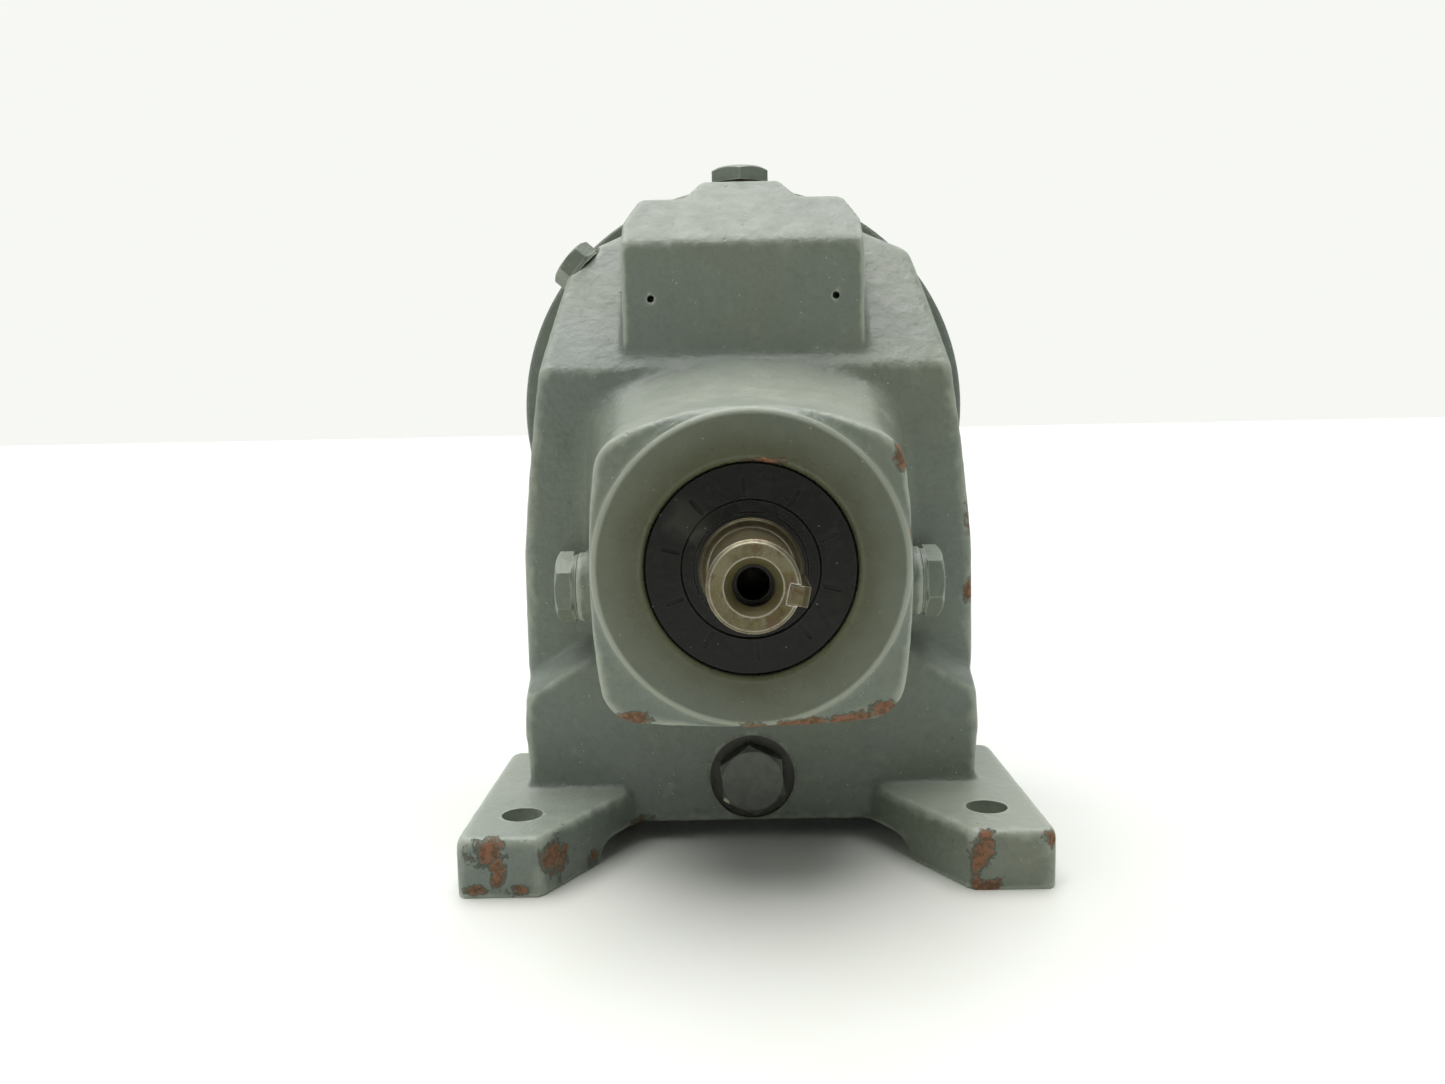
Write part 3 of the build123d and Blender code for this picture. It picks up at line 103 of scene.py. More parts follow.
# rods that fill and cut the holes
ROD_SEGMENTS = 96
BORE_SEGMENTS = 128
RING_SEGMENTS = 256
PIN_SEGMENTS = 32
FILL_MARGIN = 0.5 * MM                  # how far a filling rod reaches into the metal around a hole
PIN_FILL_MARGIN = 1.0 * MM
SEAL_FILL_DEPTH = 10 * MM
DRAIN_FILL_DEPTH = 6 * MM
PIN_OVERRUN = 3 * MM                    # how far a rod runs past the hole that it fills or cuts
FOOT_OVERRUN = 5 * MM
BORE_OVERRUN = 5 * MM
POCKET_OVERRUN = 6 * MM
DRAIN_OVERRUN = 9 * MM
BORE_CUT_DEPTH = 15 * MM
POCKET_R = TURNED_R - 2 * MM            # the pocket that takes the turned ring

# radii on the output shaft and its seal
SHAFT_R = 14.3 * MM
JOURNAL_R = 17.5 * MM
CENTRE_HOLE_R = 6.4 * MM                # where the painted shade of the centre hole starts
COUNTERSINK_R = 9.2 * MM
SEAL_NOTCH_START_R = 24.0 * MM

# the cast skin
VOXEL = 1.25 * MM
ROUND_STEP = 0.5                        # share of the way to the neighbours' mean, each round
FILL_STEP = 0.6
LAST_ROUNDS = 3
CASTING_CRISP = 50                      # degrees; sharper edges are shaded crisp
WAVE_RATE, WAVE_MM = 60, 0.09           # low waves: features in a metre, height
GRAIN_RATE, GRAIN_MM = 230, 0.11        # coarse grain: the same

# where rounding starts and where it is whole, measured from each machined face
BOSS_FADE = (2.0 * MM, 6.0 * MM)
JOINT_FADE = (1.0 * MM, 4.0 * MM)
COVER_FADE = (1.0 * MM, 3.0 * MM)
SHOULDER_FADE = (12.5 * MM, 15.5 * MM)  # from the middle of the shoulder plug's seat
VENT_FADE = (0.5 * MM, 3.0 * MM)
SOLE_FADE = (0.5 * MM, 2.0 * MM)
LEVEL_PAD_R = 15.0 * MM
LEVEL_PAD_DEPTH = 3.0 * MM
HELD = 0.1                              # share of the rounding left on a machined face
VENT_HELD = 0.25

# bevels on the pieces that aren't cast
PLUG_BEVEL, PLUG_BEVEL_STEPS = 0.55 * MM, 3
FINE_BEVEL = 0.25 * MM
FLANGE_BEVEL = 0.4 * MM
BEVEL_STEPS = 2
PIECE_CRISP = 40
BEVEL_ANGLE = 28                        # degrees; flatter edges are left alone
FLAT_ANGLE = 0.5                        # degrees; faces this close to one plane are joined

PLUGS = ("left_level_plug", "right_level_plug", "shoulder_plug", "drain_plug", "vent_plug")
FINE_PIECES = ("output_shaft", "output_key", "input_shaft", "input_key", "flange_screws", "cover_screws")

# floor, light and camera
FLOOR_SIZE = 30.0
BRIGHT_SIDE = (0.0, 0.94, 0.34)         # direction of the room's light side
SENSOR_MM, LENS_MM = 36.0, 29.12
CAMERA_PLACE = (-0.006, -0.449, 0.163)
CAMERA_TURN, CAMERA_DOWN, CAMERA_ROLL = 0.5, 5.7, -1.15    # degrees


# ---------------------------------------------------------------- mesh helpers
def mesh_object(name, verts, faces):
    """A new object in the scene from vertices and faces."""
    mesh = bpy.data.meshes.new(name)
    mesh.from_pydata([tuple(v) for v in verts], [], faces)
    mesh.update()
    obj = bpy.data.objects.new(name, mesh)
    bpy.context.scene.collection.objects.link(obj)
    return obj


def lathe(name, profile, axis_z, segments):
    """A closed ring turned about an axis along Y at X = 0, from (radius, y) points in order."""
    verts = []
    for i in range(segments):
        angle = 2 * math.pi * i / segments
        for radius, y in profile:
            verts.append((radius * math.cos(angle), y, axis_z + radius * math.sin(angle)))
    n = len(profile)
    faces = []
    for i in range(segments):
        j = (i + 1) % segments
        for k in range(n):
            m = (k + 1) % n
            faces.append((i * n + k, i * n + m, j * n + m, j * n + k))
    return mesh_object(name, verts, faces)


def rod(name, start, end, radius, segments=ROD_SEGMENTS):
    """A closed cylinder between two points."""
    start = Vector(start)
    axis = Vector(end) - start
    turn = axis.to_track_quat("Z", "Y").to_matrix()
    verts = []
    for height in (0.0, axis.length):
        for i in range(segments):
            angle = 2 * math.pi * i / segments
            local = Vector((radius * math.cos(angle), radius * math.sin(angle), height))
            verts.append(start + turn @ local)
    sides = [(i, (i + 1) % segments, segments + (i + 1) % segments, segments + i) for i in range(segments)]
    ends = [tuple(reversed(range(segments))), tuple(range(segments, 2 * segments))]
    return mesh_object(name, verts, sides + ends)


def rod_along_y(name, x, z, start, end, radius, segments=ROD_SEGMENTS):
    """A closed cylinder along Y, from start to end."""
    return rod(name, (x, start, z), (x, end, z), radius, segments)


def copy_of(node, name):
    """A free copy of a CAD node's mesh, welded into one surface."""
    obj = bpy.data.objects.new(name, frame["nodes"][node].data.copy())
    bpy.context.scene.collection.objects.link(obj)
    obj.data.materials.clear()
    apply_modifier(obj, "WELD", merge_threshold=0.002 * MM)
    return obj


def apply_modifier(obj, kind, **settings):
    """Add one modifier, keep its result as the object's mesh, and take it off again."""
    modifier = obj.modifiers.new(kind.lower(), kind)
    for key, value in settings.items():
        setattr(modifier, key, value)
    graph = bpy.context.evaluated_depsgraph_get()
    result = bpy.data.meshes.new_from_object(obj.evaluated_get(graph))
    obj.modifiers.clear()
    old = obj.data
    obj.data = result
    bpy.data.meshes.remove(old)


def absorb(obj, others):
    """Put other objects' meshes into obj's mesh and delete them."""
    with bpy.context.temp_override(active_object=obj, selected_editable_objects=[obj] + others):
        bpy.ops.object.join()


def cut_out(obj, tool):
    """Cut a tool object out of obj, and delete the tool."""
    apply_modifier(obj, "BOOLEAN", object=tool, operation="DIFFERENCE", solver="MANIFOLD")
    bpy.data.objects.remove(tool)


def coordinates(mesh):
    """The mesh's vertex coordinates as an array."""
    co = np.empty(len(mesh.vertices) * 3, np.float32)
    mesh.vertices.foreach_get("co", co)
    return co.reshape(-1, 3).astype(float)


def set_coordinates(mesh, co):
    """Write an array of coordinates back to the mesh."""
    mesh.vertices.foreach_set("co", co.astype(np.float32).ravel())
    mesh.update()


def edge_pairs(mesh):
    """The two vertex numbers of every edge."""
    pairs = np.empty(len(mesh.edges) * 2, np.int32)
    mesh.edges.foreach_get("vertices", pairs)
    return pairs.reshape(-1, 2)


def neighbour_mean(values, pairs):
    """For each vertex, the mean of its neighbours' values."""
    count = len(values)
    first, second = pairs[:, 0], pairs[:, 1]
    degree = np.bincount(first, minlength=count) + np.bincount(second, minlength=count)
    total = np.empty_like(values)
    for axis in range(values.shape[1]):
        total[:, axis] = np.bincount(first, values[second, axis], count)
        total[:, axis] += np.bincount(second, values[first, axis], count)
    return total / np.maximum(degree, 1)[:, None]


def vertex_normals(mesh):
    """The mesh's vertex normals as an array."""
    normals = np.empty(len(mesh.vertices) * 3, np.float32)
    mesh.vertex_normals.foreach_get("vector", normals)
    return normals.reshape(-1, 3).astype(float)


def smooth_casting(obj, weight, rounds, fill_rounds):
    """Round a casting's edges, then fill its inner corners a little more, where weight allows."""
    mesh = obj.data
    pairs = edge_pairs(mesh)
    co = coordinates(mesh)
    share = weight(co)[:, None]
    for _ in range(rounds):
        co += ROUND_STEP * share * (neighbour_mean(co, pairs) - co)
    set_coordinates(mesh, co)
    normals = vertex_normals(mesh)
    fill_share = share * fade(co[:, 1] - BOSS_PLANE_Y, *BOSS_FADE)[:, None]
    for _ in range(fill_rounds):
        move = neighbour_mean(co, pairs) - co
        outward = np.maximum((move * normals).sum(1), 0.0)[:, None]
        co += FILL_STEP * fill_share * outward * normals
    for _ in range(LAST_ROUNDS):
        co += ROUND_STEP * share * (neighbour_mean(co, pairs) - co)
    set_coordinates(mesh, co)


def eased(node, width, segments=BEVEL_STEPS):
    """A copy of a CAD node with its sharp edges broken by a small bevel, put in the node's place."""
    obj = copy_of(node, f"{node}_finished")
    shape = bmesh.new()
    shape.from_mesh(obj.data)
    flat = math.radians(FLAT_ANGLE)
    bmesh.ops.dissolve_limit(shape, angle_limit=flat, verts=shape.verts, edges=shape.edges)
    shape.to_mesh(obj.data)
    shape.free()
    apply_modifier(
        obj,
        "BEVEL",
        width=width,
        segments=segments,
        limit_method="ANGLE",
        angle_limit=math.radians(BEVEL_ANGLE),
        use_clamp_overlap=True,
    )
    shade_smooth(obj, PIECE_CRISP)
    stand_in(obj, node)


def shade_smooth(obj, angle):
    """Smooth shading, with edges sharper than an angle in degrees left crisp."""
    obj.data.shade_smooth()
    obj.data.set_sharp_from_angle(angle=math.radians(angle))
    apply_modifier(obj, "WEIGHTED_NORMAL", keep_sharp=True)


def stand_in(obj, node):
    """Let obj take a CAD node's place: its body, its finish and its looks."""
    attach(obj, BODY_OF[node])
    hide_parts(node)
    shown[node] = obj


def fade(distance, start, end):
    """0 at start and below, 1 at end and above."""
    return np.clip((distance - start) / (end - start), 0.0, 1.0)


# ---------------------------------------------------------------- the housing casting
def housing_weight(co):
    """How freely each point of the housing may be rounded: 0 on machined faces, 1 on cast skin."""
    x, y, z = co[:, 0], co[:, 1], co[:, 2]
    weight = fade(JOINT_Y - y, *JOINT_FADE)
    level = np.hypot(y - LEVEL_SEAT.y, z - LEVEL_SEAT.z)
    on_pad = (np.abs(x) > LEVEL_SEAT.x - LEVEL_PAD_DEPTH) & (level < LEVEL_PAD_R)
    weight = np.where(on_pad, HELD, weight)
    shoulder = np.linalg.norm(co - SHOULDER_SEAT, axis=1)
    weight *= HELD + (1 - HELD) * fade(shoulder, *SHOULDER_FADE)
    weight *= VENT_HELD + (1 - VENT_HELD) * fade(VENT_TOP - z, *VENT_FADE)
    weight *= HELD + (1 - HELD) * fade(z, *SOLE_FADE)
    return weight


def cover_weight(co):
    """The same for the rear cover, whose joint face is machined."""
    return fade(co[:, 1] - COVER_FRONT_Y, *COVER_FADE)


def roughen(obj, weight):
    """Give the cast skin its slight unevenness: low waves and a coarse grain."""
    mesh = obj.data
    co = coordinates(mesh)
    places = [Vector(p) for p in co]
    waves = np.array([noise.noise(place * WAVE_RATE) for place in places]) * WAVE_MM
    grain = np.array([noise.noise(place * GRAIN_RATE) for place in places]) * GRAIN_MM
    lift = (waves + grain) * weight(co) * MM
    set_coordinates(mesh, co + vertex_normals(mesh) * lift[:, None])


def keep_inside(obj, node):
    """Hold every point of a casting within its CAD node's box."""
    low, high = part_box(node)
    set_coordinates(obj.data, np.clip(coordinates(obj.data), np.array(low), np.array(high)))


def turned_ring():
    """The turned face around the seal, with a rounded rim and the chamfered mouth of the seal's bore."""
    root = BOSS_Y + RING_DEPTH
    mouth = SEAL_R + BORE_CHAMFER
    flat_end = TURNED_R - TURNED_RIM_R
    profile = [(SEAL_R, root), (SEAL_R, BOSS_Y + BORE_CHAMFER), (mouth, BOSS_Y)]
    for step in range(1, FACE_STEPS):
        profile.append((mouth + (flat_end - mouth) * step / FACE_STEPS, BOSS_Y))
    for step in range(RIM_STEPS + 1):
        angle = math.pi / 2 * step / RIM_STEPS
        reach = TURNED_R - TURNED_RIM_R * (1 - math.sin(angle))
        profile.append((reach, BOSS_Y + TURNED_RIM_R * (1 - math.cos(angle))))
    profile.append((TURNED_R, BOSS_PLANE_Y + 1.0 * MM))
    profile.append((TURNED_R - TURNED_ROOT_TAPER, root))
    return lathe("turned_ring", profile, OUTPUT_Z, RING_SEGMENTS)


def holes_to_fill():
    """Rods that close the housing's holes, so that the rounding doesn't reach their mouths."""
    bore_r = SEAL_R + FILL_MARGIN
    drain_r = DRAIN_SPOT_R + FILL_MARGIN
    pin_r = PIN_HOLE_R + PIN_FILL_MARGIN
    pin_end = PLATE_Y + PIN_HOLE_DEPTH + PIN_OVERRUN
    foot_r = FOOT_HOLE_R + FILL_MARGIN
    fills = [
        rod_along_y("fill", 0, OUTPUT_Z, BOSS_Y, BOSS_Y + SEAL_FILL_DEPTH, bore_r),
        rod_along_y("fill", 0, DRAIN_Z, LOWER_FRONT_Y, LOWER_FRONT_Y + DRAIN_FILL_DEPTH, drain_r),
    ]
    for x, z in PIN_HOLES:
        fills.append(rod_along_y("fill", x, z, PLATE_Y, pin_end, pin_r))
    for x, y in FOOT_HOLES:
        fills.append(rod("fill", (x, y, 0), (x, y, FOOT_TOP), foot_r))
    return fills


def holes_to_cut():
    """Rods that cut the holes and the drain plug's seat again, and a pocket for the turned ring."""
    bore_start, bore_end = BOSS_Y - BORE_OVERRUN, BOSS_Y + BORE_CUT_DEPTH
    pocket_start, pocket_end = BOSS_Y - POCKET_OVERRUN, BOSS_Y + RING_DEPTH
    drain_start, drain_end = LOWER_FRONT_Y - DRAIN_OVERRUN, LOWER_FRONT_Y + DRAIN_SPOT_DEPTH
    pin_start, pin_end = PLATE_Y - PIN_OVERRUN, PLATE_Y + PIN_HOLE_DEPTH
    foot_top = FOOT_TOP + FOOT_OVERRUN
    cuts = [
        rod_along_y("cut", 0, OUTPUT_Z, bore_start, bore_end, SEAL_R, BORE_SEGMENTS),
        rod_along_y("cut", 0, OUTPUT_Z, pocket_start, pocket_end, POCKET_R, BORE_SEGMENTS),
        rod_along_y("cut", 0, DRAIN_Z, drain_start, drain_end, DRAIN_SPOT_R),
    ]
    for x, z in PIN_HOLES:
        cuts.append(rod_along_y("cut", x, z, pin_start, pin_end, PIN_HOLE_R, PIN_SEGMENTS))
    for x, y in FOOT_HOLES:
        cuts.append(rod("cut", (x, y, -FOOT_OVERRUN), (x, y, foot_top), FOOT_HOLE_R))
    return cuts


def cast_skin(obj, node, weight, rounds, fill_rounds):
    """Turn a copy of a CAD node into a casting: an even mesh, rounded, filled and roughened."""
    apply_modifier(obj, "REMESH", mode="VOXEL", voxel_size=VOXEL, adaptivity=0.0)
    smooth_casting(obj, weight, rounds, fill_rounds)
    roughen(obj, weight)
    keep_inside(obj, node)


def build_housing():
    """The cast housing: holes filled, skin made, then the machined places cut again."""
    obj = copy_of("housing", "housing_casting")
    absorb(obj, holes_to_fill())
    cast_skin(obj, "housing", housing_weight, rounds=3, fill_rounds=14)
    for cut in holes_to_cut():
        cut_out(obj, cut)
    absorb(obj, [turned_ring()])
    shade_smooth(obj, CASTING_CRISP)
    stand_in(obj, "housing")


def build_rear_cover():
    """The cast rear cover."""
    obj = copy_of("rear_cover", "rear_cover_casting")
    cast_skin(obj, "rear_cover", cover_weight, rounds=5, fill_rounds=6)
    shade_smooth(obj, CASTING_CRISP)
    stand_in(obj, "rear_cover")


# ---------------------------------------------------------------- finishes
# the paint's patterns
CLOUD_SIZE = 70 * MM
PATCH_SIZE = 9 * MM
PEEL_SIZE = 2.2 * MM
DIMPLE_SIZE = 6 * MM
PIT_SPACING, PIT_R = 14 * MM, 1.0 * MM
SPECK_SPACING, SPECK_R = 3.4 * MM, 0.45 * MM
PAINT_EDGE = 1.2 * MM                   # width of the worn band along an edge, lightened as wear and as a painted highlight
PAINT_RELIEF = 0.34 * MM
SPECK_SHARE = 0.6
# share of painted shade and grime in a casting's inner corners
SHADE_AND_GRIME_SHARE = 0.5
# share of worn paint and painted highlight on edges
WORN_AND_HIGHLIGHT_SHARE = 0.72

# oil and rust on the housing, with painted shade at the drain seat and a painted highlight on the turned
# rim
OIL_CLOUD_SIZE = 16 * MM
OIL_WANDER = 9 * MM
OIL_REACH = (5 * MM, 20 * MM)           # from the seal's edge
OIL_SHINE = 0.12
TURNED_SMOOTHING = 0.7
# a painted highlight line on the turned face's rounded rim
RIM_LINE_R = TURNED_R - 0.9 * MM
RIM_LINE_WANDER = 1.5 * MM
RIM_LINE_FADE = (1.2 * MM, 2.6 * MM)
# where painted shade and oil darken the drain plug's sunken seat, from the seat's middle
DRAIN_SHADE_AND_OIL_FADE = (15.5 * MM, 18.5 * MM)
RUST_SIZE = 7 * MM
RUST_MOTTLE_SIZE = 2.0 * MM
RUST_SPREAD = 1.35
RUST_STRENGTH = 0.44
DRIP_RATES = (160, 160, 60)             # waves in a metre along X, Y and Z
DRIP_STRENGTH = 0.42

# steel, rubber and fibre
SMEAR_SIZE = 9 * MM
STEEL_EDGE = 1.0 * MM
STAIN_SIZE = 6 * MM
RING_RATES = (30, 2600, 30)             # waves in a metre along X, Y and Z
FACE_RING_RATE = 3000.0                 # turning marks in a metre of radius
OXIDE_EDGE = 0.9 * MM
CHIP_FADE = (2.6 * MM, 3.6 * MM)
CHIP_RAGGEDNESS = 3 * MM
RUBBER_EDGE_WIDTH = 1.1 * MM
DUSTY_PLACE = Vector((-21 * MM, SEAL_FACE_Y, OUTPUT_Z + 17 * MM))
DUSTY_FADE = (9 * MM, 17 * MM)
DUSTY_RAGGEDNESS = 14 * MM
NOTCH_FADE = (0.1 * MM, 0.3 * MM)       # from the seal's face, where painted shade in the sunken notches starts
STRAND_SIZE = 0.8 * MM
FINE_RELIEF = 0.05 * MM

# linear colours
PAINT_COOL = (0.185, 0.220, 0.188, 1)
PAINT_WARM = (0.205, 0.228, 0.172, 1)
PAINT_DUSTY = (0.27, 0.295, 0.235, 1)
PAINT_DARK = (0.125, 0.145, 0.115, 1)
# lighter paint on edges: wear, and a painted highlight
PAINT_WORN_AND_HIGHLIGHT = (0.46, 0.50, 0.41, 1)
SPECK = (0.62, 0.64, 0.55, 1)
# dust on faces that look up, also a painted top light that brightens level tops
DUST_AND_TOP_LIGHT = (0.44, 0.465, 0.385, 1)
# dark grime that also stands for painted shade, in inner corners and at the drain seat
GRIME_AND_SHADE = (0.055, 0.055, 0.038, 1)
OIL_STAIN = (0.058, 0.060, 0.015, 1)
RUST_BRIGHT = (0.30, 0.135, 0.070, 1)
RUST_DARK = (0.12, 0.075, 0.040, 1)
RUST_EDGE = (0.10, 0.105, 0.045, 1)
CLEAN_STEEL = (0.225, 0.203, 0.126, 1)
OIL_FILM = (0.115, 0.092, 0.042, 1)
STEEL_STAIN = (0.105, 0.060, 0.026, 1)
SUNK_OIL = (0.155, 0.135, 0.055, 1)
# bright steel; on edges also a painted highlight
BRIGHT_STEEL_AND_EDGE_HIGHLIGHT = (0.80, 0.77, 0.68, 1)
BLACK_OXIDE = (0.100, 0.108, 0.092, 1)
OXIDE_WORN = (0.45, 0.45, 0.40, 1)
CHIP = (0.75, 0.72, 0.58, 1)
RUBBER = (0.006, 0.006, 0.005, 1)
RUBBER_DUSTY = (0.070, 0.073, 0.052, 1)
# a painted highlight on the seal's edges
RUBBER_EDGE_HIGHLIGHT = (0.085, 0.085, 0.070, 1)
# painted shade inside the shaft's centre hole
CENTRE_HOLE_SHADE = (0.012, 0.010, 0.006, 1)
JOURNAL_OIL = (0.07, 0.058, 0.030, 1)
GASKET = (0.16, 0.12, 0.075, 1)
WASHER = (0.035, 0.035, 0.030, 1)
BOARD_LIGHT = (0.85, 0.86, 0.81, 1)
BOARD_SHADED = (0.81, 0.82, 0.755, 1)
ROOM = (0.95, 0.98, 1.0, 1)
BACKDROP = (0.93, 0.94, 0.90, 1)


class Finish:
    """One procedural material, with short calls for its nodes. Places are in the row frame."""

    def __init__(self, name, metallic=0.0):
        self.material = bpy.data.materials.new(name)
        self.material.use_nodes = True
        self.tree = self.material.node_tree
        self.shader = self.tree.nodes["Principled BSDF"]
        self.shader.inputs["Metallic"].default_value = metallic
        self.place = self.new("ShaderNodeTexCoord").outputs["Object"]

    def new(self, kind, **settings):
        """A new node with some of its settings changed."""
        node = self.tree.nodes.new(kind)
        for key, value in settings.items():
            setattr(node, key, value)
        return node

    def feed(self, socket, value):
        """Link a socket to another, or set it to a number or colour."""
        if isinstance(value, bpy.types.NodeSocket):
            self.tree.links.new(value, socket)
        else:
            socket.default_value = value

    def calc(self, operation, first, second=0.0, clamp=False):
        """A math operation on two numbers or sockets."""
        node = self.new("ShaderNodeMath", operation=operation, use_clamp=clamp)
        self.feed(node.inputs[0], first)
        self.feed(node.inputs[1], second)
        return node.outputs[0]

    def plus(self, first, second, clamp=False):
        return self.calc("ADD", first, second, clamp)

    def minus(self, first, second):
        return self.calc("SUBTRACT", first, second)

    def times(self, first, second):
        return self.calc("MULTIPLY", first, second)

    def larger(self, first, second):
        return self.calc("MAXIMUM", first, second)

    def component(self, vector, axis):
        """The X, Y or Z of a vector socket."""
        node = self.new("ShaderNodeSeparateXYZ")
        self.feed(node.inputs[0], vector)
        return node.outputs[axis]

    def ramp(self, value, low, high, start=0.0, end=1.0):
        """start where value is at or below low, end at or above high, and smooth between."""
        node = self.new("ShaderNodeMapRange", interpolation_type="SMOOTHSTEP", clamp=True)
        for socket, item in zip(node.inputs, (value, low, high, start, end)):
            self.feed(socket, item)
        return node.outputs[0]

    def mix(self, share, first, second):
        """The first colour where share is 0, and the second where it is 1."""
        node = self.new("ShaderNodeMix", data_type="RGBA")
        self.feed(node.inputs["Factor"], share)
        self.feed(node.inputs["A"], first)
        self.feed(node.inputs["B"], second)
        return node.outputs["Result"]

    def stretched(self, x, y, z):
        """The place with each axis multiplied, for patterns longer one way than another."""
        node = self.new("ShaderNodeVectorMath", operation="MULTIPLY")
        self.feed(node.inputs[0], self.place)
        node.inputs[1].default_value = (x, y, z)
        return node.outputs[0]

    def grain(self, size, detail=2.0, vector=None, roughness=0.5, distortion=0.0):
        """Noise from 0 to 1 with features of about a size in metres."""
        node = self.new("ShaderNodeTexNoise")
        self.feed(node.inputs["Vector"], vector if vector is not None else self.place)
        self.feed(node.inputs["Scale"], 1.0 / size)
        self.feed(node.inputs["Detail"], detail)
        self.feed(node.inputs["Roughness"], roughness)
        self.feed(node.inputs["Distortion"], distortion)
        return node.outputs["Fac"]

    def dots(self, spacing, radius):
        """1 in small dots scattered at a spacing, 0 between them."""
        node = self.new("ShaderNodeTexVoronoi")
        self.feed(node.inputs["Vector"], self.place)
        self.feed(node.inputs["Scale"], 1.0 / spacing)
        return self.ramp(node.outputs["Distance"], radius / spacing * 0.5, radius / spacing, 1.0, 0.0)

    def distance(self, point, squash=(1, 1, 1)):
        """Distance from a point in the row frame, with each axis multiplied by squash."""
        node = self.new("ShaderNodeVectorMath", operation="DISTANCE")
        self.feed(node.inputs[0], self.stretched(*squash))
        node.inputs[1].default_value = [a * b for a, b in zip(point, squash)]
        return node.outputs["Value"]

    def from_output_axis(self):
        """Distance from the output shaft's axis, which runs along Y."""
        return self.distance((0, 0, OUTPUT_Z), (1, 0, 1))

    def upward(self):
        """1 on level faces that look up, and 0 from about 47 degrees of slope."""
        normal = self.new("ShaderNodeNewGeometry").outputs["Normal"]
        return self.ramp(self.component(normal, "Z"), 0.68, 0.96)

    def pointedness(self):
        """Above 0.5 on outer edges and below it in corners."""
        return self.new("ShaderNodeNewGeometry").outputs["Pointiness"]

    def edges(self, width):
        """1 along sharp edges and 0 on flat faces, reaching a width in metres from the edge."""
        bevel = self.new("ShaderNodeBevel", samples=6)
        bevel.inputs["Radius"].default_value = width
        node = self.new("ShaderNodeVectorMath", operation="DOT_PRODUCT")
        self.feed(node.inputs[0], bevel.outputs["Normal"])
        self.feed(node.inputs[1], self.new("ShaderNodeNewGeometry").outputs["True Normal"])
        return self.ramp(node.outputs["Value"], 0.992, 0.90)

    def set(self, colour, roughness, bump, depth):
        """Wire colour, roughness and a bump height, depth metres high, to the shader."""
        self.feed(self.shader.inputs["Base Color"], colour)
        self.feed(self.shader.inputs["Roughness"], roughness)
        node = self.new("ShaderNodeBump")
        node.inputs["Strength"].default_value = 1.0
        node.inputs["Distance"].default_value = depth
        self.feed(node.inputs["Height"], bump)
        self.tree.links.new(node.outputs["Normal"], self.shader.inputs["Normal"])
        return self.material


def rust_places():
    """Rust patches: centre, radius, and how much narrower each is along X, Y and Z."""
    foot_x = housing_high.x / MM
    foot_y = housing_low.y / MM + 7
    boss_y = BOSS_Y / MM
    rim_y = boss_y + 4
    lower_y = LOWER_FRONT_Y / MM
    seal_top = (OUTPUT_Z + SEAL_R) / MM
    places = [
        ((-foot_x + 12, foot_y, 16), 11, (0.9, 1, 1.3)),
        ((-foot_x + 15, foot_y, 9), 9, (1.5, 1, 0.8)),
        ((-foot_x + 8, foot_y, 3), 6, (0.8, 1, 1.4)),
        ((-foot_x + 22, foot_y, 3), 7, (0.8, 1, 1.6)),
        ((-foot_x + 33, foot_y + 9, 11), 13, (1, 1, 1)),
        ((-foot_x + 45, foot_y + 27, 4), 8, (1, 1, 1)),
        ((foot_x - 27, foot_y, 13), 12, (1.5, 1, 0.8)),
        ((foot_x - 24, foot_y, 2), 8, (0.8, 1, 1.6)),
        ((foot_x - 2, foot_y, 18), 6, (1, 1, 1)),
        ((-42, rim_y, 64), 9, (0.8, 1, 2.0)),
        ((0, rim_y, 62), 8, (0.7, 1, 1.6)),
        ((16, rim_y, 61), 11, (0.7, 1, 2.2)),
        ((34, rim_y, 62), 13, (0.8, 1, 2.2)),
        ((46, rim_y, 66), 9, (1, 1, 1.6)),
        ((51, rim_y, 153), 10, (1.8, 1, 0.8)),
        ((55, rim_y, 128), 6, (1.8, 1, 0.7)),
        ((56, rim_y, 118), 5, (1.8, 1, 0.8)),
        ((89, 15, 125), 9, (1.6, 1, 0.6)),
        ((88, 15, 96), 8, (1.6, 1, 0.7)),
        ((-48, lower_y, 7), 10, (0.7, 1, 1.6)),
        ((6, boss_y, seal_top), 7, (0.6, 1, 3.0)),
    ]
    return [(Vector(centre) * MM, radius * MM, squash) for centre, radius, squash in places]


